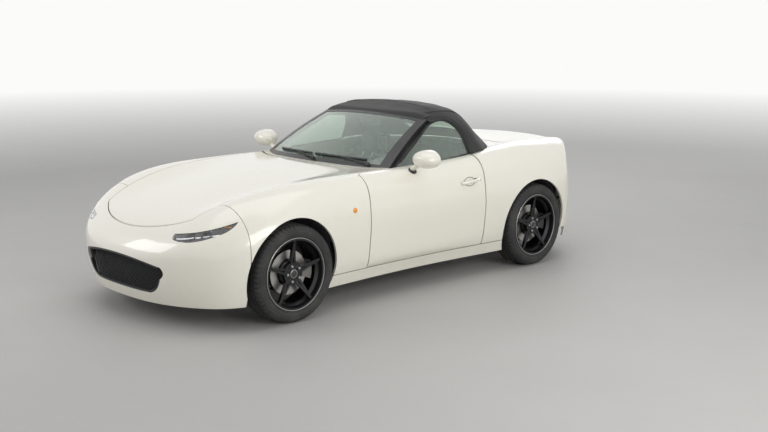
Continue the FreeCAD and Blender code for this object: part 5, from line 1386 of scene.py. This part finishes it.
# %% Wheel pad and buttons
pad_place, normal = land("steering_wheel", (driver_x, 0.45, 0.735), (0, -1, 0))
pad = [(0.0, -0.004), (0.058, -0.004), (0.060, 0.006), (0.052, 0.014), (0.030, 0.019), (0.0, 0.0205)]
turned("wheel_pad", pad, pad_place, normal, "steering_wheel", wheel_leather, 56, closed=False)
ring = [(0.0600, -0.003), (0.0625, -0.003), (0.0625, 0.004), (0.0600, 0.005)]
turned("wheel_pad_ring", ring, pad_place, normal, "steering_wheel", chrome, 56)
across = Vector((1, 0, 0))
up = normal.cross(across)
up = up if up.z > 0 else -up
buttons = []
for sign in (1, -1):
    for rise in (-0.010, 0.010):
        start = pad_place + across * sign * 0.084 + up * rise + normal * 0.2
        spot = land("steering_wheel", start, -normal)
        if spot:
            buttons.append(spot[0])
dome = [(0.0, -0.002), (0.0075, -0.002), (0.0075, 0.002), (0.0055, 0.0036), (0.0, 0.0040)]
turned("wheel_buttons", dome, buttons, normal, "steering_wheel", gloss_black, 20,
       closed=False)
print("wheel pad at", [round(value, 3) for value in pad_place], "buttons", len(buttons))

# %% Gaiter, brake lever and cup rings
console_z, lever_y = 0.550, -0.0055
upwards = (0, 0, 1)
folds = [(0.0, -0.002)]
for k, share in enumerate(spread(0, 1, 13)):
    fold = 0.0035 if k % 2 else -0.0015
    folds.append((0.048 * (1 - share) ** 1.3 + 0.0105 + fold * (1 - share), 0.072 * share - 0.002))
folds.append((0.0, folds[-1][1]))
lever_foot = Vector((0, lever_y, console_z))
turned("lever_gaiter", folds, lever_foot, upwards, "body", trim_leather, 48, closed=False)
gate = [(0.052, -0.002), (0.060, -0.002), (0.060, 0.003), (0.056, 0.005), (0.052, 0.003)]
turned("lever_gate", gate, lever_foot, upwards, "body", chrome, 48)
brake_line = ((0.300, 0.004), (0.225, 0.020), (0.140, 0.046))
brake = [Vector((-0.062, y, console_z + rise)) for y, rise in brake_line]
tube("brake_lever", [brake], 0.0115, "body", trim_leather, sides=14)
button = [(0.0, 0.0), (0.0075, 0.0), (0.0075, 0.006), (0.005, 0.009), (0.0, 0.009)]
turned("brake_button", button, brake[-1], brake[-1] - brake[-2], "body", chrome, 20,
       closed=False)
cups = [(0.034, -0.001), (0.040, -0.001), (0.040, 0.003), (0.037, 0.005), (0.034, 0.003)]
cup_spots = [Vector((0.045, y, console_z)) for y in (0.205, 0.300)]
turned("cup_rings", cups, cup_spots, upwards, "body", chrome, 40)
print("gaiter rings", len(folds), "cups", len(cup_spots))

# %% Cabin mirror and visors
header_hits = [land("windscreen_frame", (0.0, y, 0.98), upwards) for y in spread(-0.05, 0.35, 41)]
header_edge = [hit[0] for hit in header_hits if hit][-1]
y, z = header_edge.y, header_edge.z
stalk = [Vector((0, y, z + 0.002)), Vector((0, y + 0.020, z - 0.030))]
tube("mirror_stalk", [stalk], 0.006, "body", black_plastic, sides=10)
ellipse_plate("cabin_mirror", (0, y + 0.020, z - 0.052), 0.112, 0.030, 0.016, "body", gloss_black)
ellipse_plate("cabin_mirror_glass", (0, y + 0.0362, z - 0.052), 0.104, 0.0245, 0.0012, "body", mirror_glass)
visor_spots = [(sign * 0.300, y + 0.070, z - 0.012) for side, sign in both_sides]
soft_block("sun_visors", visor_spots, (0.350, 0.120, 0.012), "body", dash_black, 0.005)
print("header at", round(y, 3), round(z, 3))

# %% [markdown]
# ## Door cards and belts
# The inside of each door has a padded card with an armrest, a pull and a speaker. They ride on the door.
# The belts hang beside the seats from the body, each with a guide and a tongue.

# %% Door cards, armrests, pulls and speakers
card_low, card_high = 0.400, 0.700
card_front, card_rear = -0.180, 0.520
card_columns = 25
for side, sign in both_sides:
    door = f"door_{side}"
    rows = []
    for z in spread(card_low, card_high, 13):
        swell = 0.007 * math.sin(math.pi * (z - card_low) / (card_high - card_low))
        row = []
        for y in spread(card_front, card_rear, card_columns):
            spot = land(door, (sign * 0.560, y, z), (sign, 0, 0))
            bulge = max(0.0, swell * min(1, (y - card_front) * 20, (card_rear - y) * 20))
            if spot:
                row.append(spot[0] - Vector((sign * (0.0045 + bulge), 0, 0)))
        if len(row) == card_columns:
            rows.append(row)
    sheet_over(f"door_card_{side}", rows, 0.004, door, dash_black)
    armrest = rows[5][14] - Vector((sign * 0.020, 0, 0.010))
    soft_block(f"door_armrest_{side}", [armrest], (0.050, 0.300, 0.042), door, trim_leather,
               0.014)
    pull = [rows[8][5] + Vector((-sign * lift, dy, 0))
            for lift, dy in ((0.000, -0.040), (0.020, -0.032), (0.020, 0.032), (0.000, 0.040))]
    tube(f"door_pull_{side}", [pull], 0.0060, door, chrome, sides=12)
    ring = [(0.048, -0.003), (0.060, -0.003), (0.060, 0.004), (0.055, 0.006), (0.048, 0.003)]
    turned(f"speaker_ring_{side}", ring, rows[2][3], (-sign, 0, 0), door, gloss_black, 48)
    cone = [(0.0, 0.001), (0.020, 0.003), (0.049, -0.001), (0.049, -0.004), (0.0, -0.004)]
    turned(f"speaker_{side}", cone, rows[2][3], (-sign, 0, 0), door, black_plastic, 40,
           closed=False)
    print(side, "card rows", len(rows))

# %% Belts
belt_length, belt_width = 0.47, 0.046
belt_cloth = Finish("belt_weave")
weave = (belt_cloth.axis(2) * 2400.0).wave()
belt_tint = belt_cloth.mix(weave * 0.5 + 0.5, colour(0.012, 0.012, 0.013), colour(0.035, 0.035, 0.038))
belt_cloth.set(Base_Color=belt_tint, Roughness=0.75)
belt_cloth.bump(weave, 0.0002, 0.5)
for side, sign in both_sides:
    anchor = Vector((sign * 0.604, 0.648, 0.760))
    run = [anchor + Vector((0, -0.055 * math.sin(math.pi * share) - 0.02 * share, -belt_length * share))
           for share in spread(0, 1, 15)]
    rows = [[p + Vector((0, dy, 0)) for p in run] for dy in (-belt_width / 2, 0.0, belt_width / 2)]
    sheet_over(f"belt_{side}", rows, 0.0014, "body", belt_cloth.material)
    guide = anchor + Vector((sign * 0.003, 0, 0.006))
    soft_block(f"belt_guide_{side}", [guide], (0.020, 0.060, 0.030), "body", black_plastic,
               0.006)
    soft_block(f"belt_tongue_{side}", [run[6]], (0.007, 0.054, 0.050), "body", chrome, 0.003)
print("belt points", len(run))

# %% [markdown]
# ## Under the bonnet and in the boot
# With the bonnet up you see the engine's ribbed cover and its oil filler cap. The engine itself is one
# plain block in the solids, so a ray asks how much room there is above it, and the cover takes less than
# half of that. The boot has a ribbed rubber mat.

# %% Engine cover
engine_low, engine_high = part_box("engine")
engine_top = engine_high.z
middle_y = (engine_low.y + engine_high.y) / 2
room = land("bonnet", (0, middle_y, engine_top + 0.004), upwards)[0].z - engine_top
print("engine's top", round(engine_top, 3), "room above it", round(room, 3))
cover_height = min(0.040, room * 0.45)
cover_top = engine_top + cover_height
half_y = (engine_high.y - engine_low.y) / 2 - 0.030
soft_block("engine_cover", [(0, middle_y, engine_top + cover_height / 2 + 0.001)],
           (0.300, half_y * 2, cover_height), "body", black_plastic, 0.010)
rib_ends = (middle_y - half_y + 0.03, middle_y + half_y - 0.03)
ribs = [[Vector((x, y, cover_top + 0.001)) for y in rib_ends] for x in spread(-0.12, 0.12, 7)]
tube("engine_cover_ribs", ribs, 0.0035, "body", gloss_black)
filler = [(0.0, 0.0), (0.024, 0.0), (0.024, 0.010), (0.019, 0.014), (0.0, 0.014)]
turned("oil_filler_cap", filler, Vector((0.075, middle_y + half_y - 0.05, cover_top)), upwards, "body",
       gloss_black, 36, closed=False)
print("engine cover height", round(cover_height, 3))

# %% Boot mat
mat_rubber = rubber("boot_mat_rubber", 0.030, 0.2)
soft_block("boot_mat", [(0, 1.400, 0.4160)], (1.020, 0.600, 0.006), "body", mat_rubber, 0.0025)
mat_ribs = [[Vector((x, y, 0.4188)) for y in (1.125, 1.675)] for x in spread(-0.47, 0.47, 24)]
tube("boot_mat_ribs", mat_ribs, 0.0016, "body", mat_rubber, sides=6)
print("mat ribs", len(mat_ribs))

# %% [markdown]
# ## Floor, light and camera
# The floor is plain and pale, and far away it fades into a white backdrop, as in a studio. More light
# would whiten it too, but it would wash out the car. So the white is shown only to rays from the camera,
# from mirrors and through glass, and the light on the car stays soft. Four large lamps stand above, at
# both sides and behind. The camera stands where the photograph was taken from. Its place was found by
# matching the solids to the wheels, lamps, roof and mouth.

# %% A switch for what is only seen
studio_white = (0.965, 0.965, 0.955, 1.0)


def seen_only(tree):
    """1 for camera, mirror and glass rays, 0 for the light that falls on the car."""
    ray = tree.nodes.new("ShaderNodeLightPath")
    seen = ray.outputs["Is Camera Ray"]
    for kind in ("Is Glossy Ray", "Is Transmission Ray"):
        larger = tree.nodes.new("ShaderNodeMath")
        larger.operation = "MAXIMUM"
        tree.links.new(seen, larger.inputs[0])
        tree.links.new(ray.outputs[kind], larger.inputs[1])
        seen = larger.outputs[0]
    return seen


def switched(tree, share, lit, shown):
    """A shader that turns from lit to shown as the share goes from 0 to 1."""
    blend = tree.nodes.new("ShaderNodeMixShader")
    for socket, source in zip(blend.inputs, (share, lit, shown)):
        tree.links.new(source, socket)
    return blend.outputs[0]


print("backdrop", studio_white[:3])

# %% Floor
floor_half = 30.0
floor_finish = Finish("floor_paint")
x, y = floor_finish.axis(0), floor_finish.axis(1)
far = floor_finish.ramp((x * x + y * y).power(0.5) / floor_half, 0.20, 0.62)
floor_tint = floor_finish.mix(floor_finish.noise(1.3), colour(0.455, 0.445, 0.425), colour(0.49, 0.48, 0.46))
floor_finish.set(Base_Color=floor_tint, Roughness=0.60 + floor_finish.noise(5.0) * 0.08)
floor_tree = floor_finish.tree
glow = floor_tree.nodes.new("ShaderNodeEmission")
glow.inputs["Color"].default_value = studio_white
surface = next(node for node in floor_tree.nodes if node.type == "OUTPUT_MATERIAL").inputs["Surface"]
faded = far * Wire(floor_finish, seen_only(floor_tree))
floor_shader = switched(floor_tree, faded.socket, floor_finish.shader.outputs[0], glow.outputs[0])
floor_tree.links.new(floor_shader, surface)
corners = [(-floor_half, -floor_half, 0), (floor_half, -floor_half, 0), (floor_half, floor_half, 0),
           (-floor_half, floor_half, 0)]
floor_mesh = bpy.data.meshes.new("floor")
floor_mesh.from_pydata(corners, [], [(0, 1, 2, 3)])
floor = bpy.data.objects.new("floor", floor_mesh)
scene.collection.objects.link(floor)
floor.data.materials.append(floor_finish.material)
print("floor half width", floor_half)

# %% World
world = bpy.data.worlds.new("studio")
scene.world = world
world.use_nodes = True
sky_tree = world.node_tree
sky = sky_tree.nodes["Background"]
sky.inputs["Color"].default_value = (0.90, 0.92, 0.95, 1.0)
sky.inputs["Strength"].default_value = 0.53
backdrop = sky_tree.nodes.new("ShaderNodeBackground")
backdrop.inputs["Color"].default_value = studio_white
sky_shader = switched(sky_tree, seen_only(sky_tree), sky.outputs[0], backdrop.outputs[0])
sky_tree.links.new(sky_shader, sky_tree.nodes["World Output"].inputs["Surface"])
print("sky strength", round(sky.inputs["Strength"].default_value, 2))

# %% Lamps
def aimed(place, aim):
    """The turn that points a lamp or a camera from a place to its aim."""
    return (Vector(aim) - Vector(place)).to_track_quat("-Z", "Y").to_euler()


lamps = (("top_lamp", (0.5, -0.5, 5.5), (0, 0, 0.3), 6.0, 62),
         ("front_lamp", (-3.2, -5.8, 3.2), (0, -0.6, 0.5), 4.0, 105),
         ("side_lamp", (6.8, -0.6, 2.4), (0, 0.1, 0.5), 4.5, 175),
         ("rear_lamp", (-2.5, 6.0, 3.6), (0, 0.5, 0.6), 4.0, 60))
for name, place, aim, width, power in lamps:
    light = bpy.data.lights.new(name, "AREA")
    light.shape = "RECTANGLE"
    light.size = width
    light.size_y = width * 0.6
    light.energy = power
    lamp = bpy.data.objects.new(name, light)
    scene.collection.objects.link(lamp)
    lamp.location = place
    lamp.rotation_euler = aimed(place, aim)
print("lamps", len(lamps))

# %% Camera
camera_place, camera_aim = (6.148, -5.529, 1.952), (0.0713, 0.2814, 0.3767)
camera_data = bpy.data.cameras.new("camera")
camera_data.lens = 53.68
camera_data.sensor_width = 36.0
camera_data.sensor_fit = "HORIZONTAL"
camera_data.clip_end = 100.0
camera_data.dof.use_dof = False
camera = bpy.data.objects.new("camera", camera_data)
scene.collection.objects.link(camera)
camera.location = camera_place
camera.rotation_euler = aimed(camera_place, camera_aim)
bpy.context.scene.camera = camera
bpy.context.scene.view_settings.view_transform = "Standard"
print("camera", camera_place)
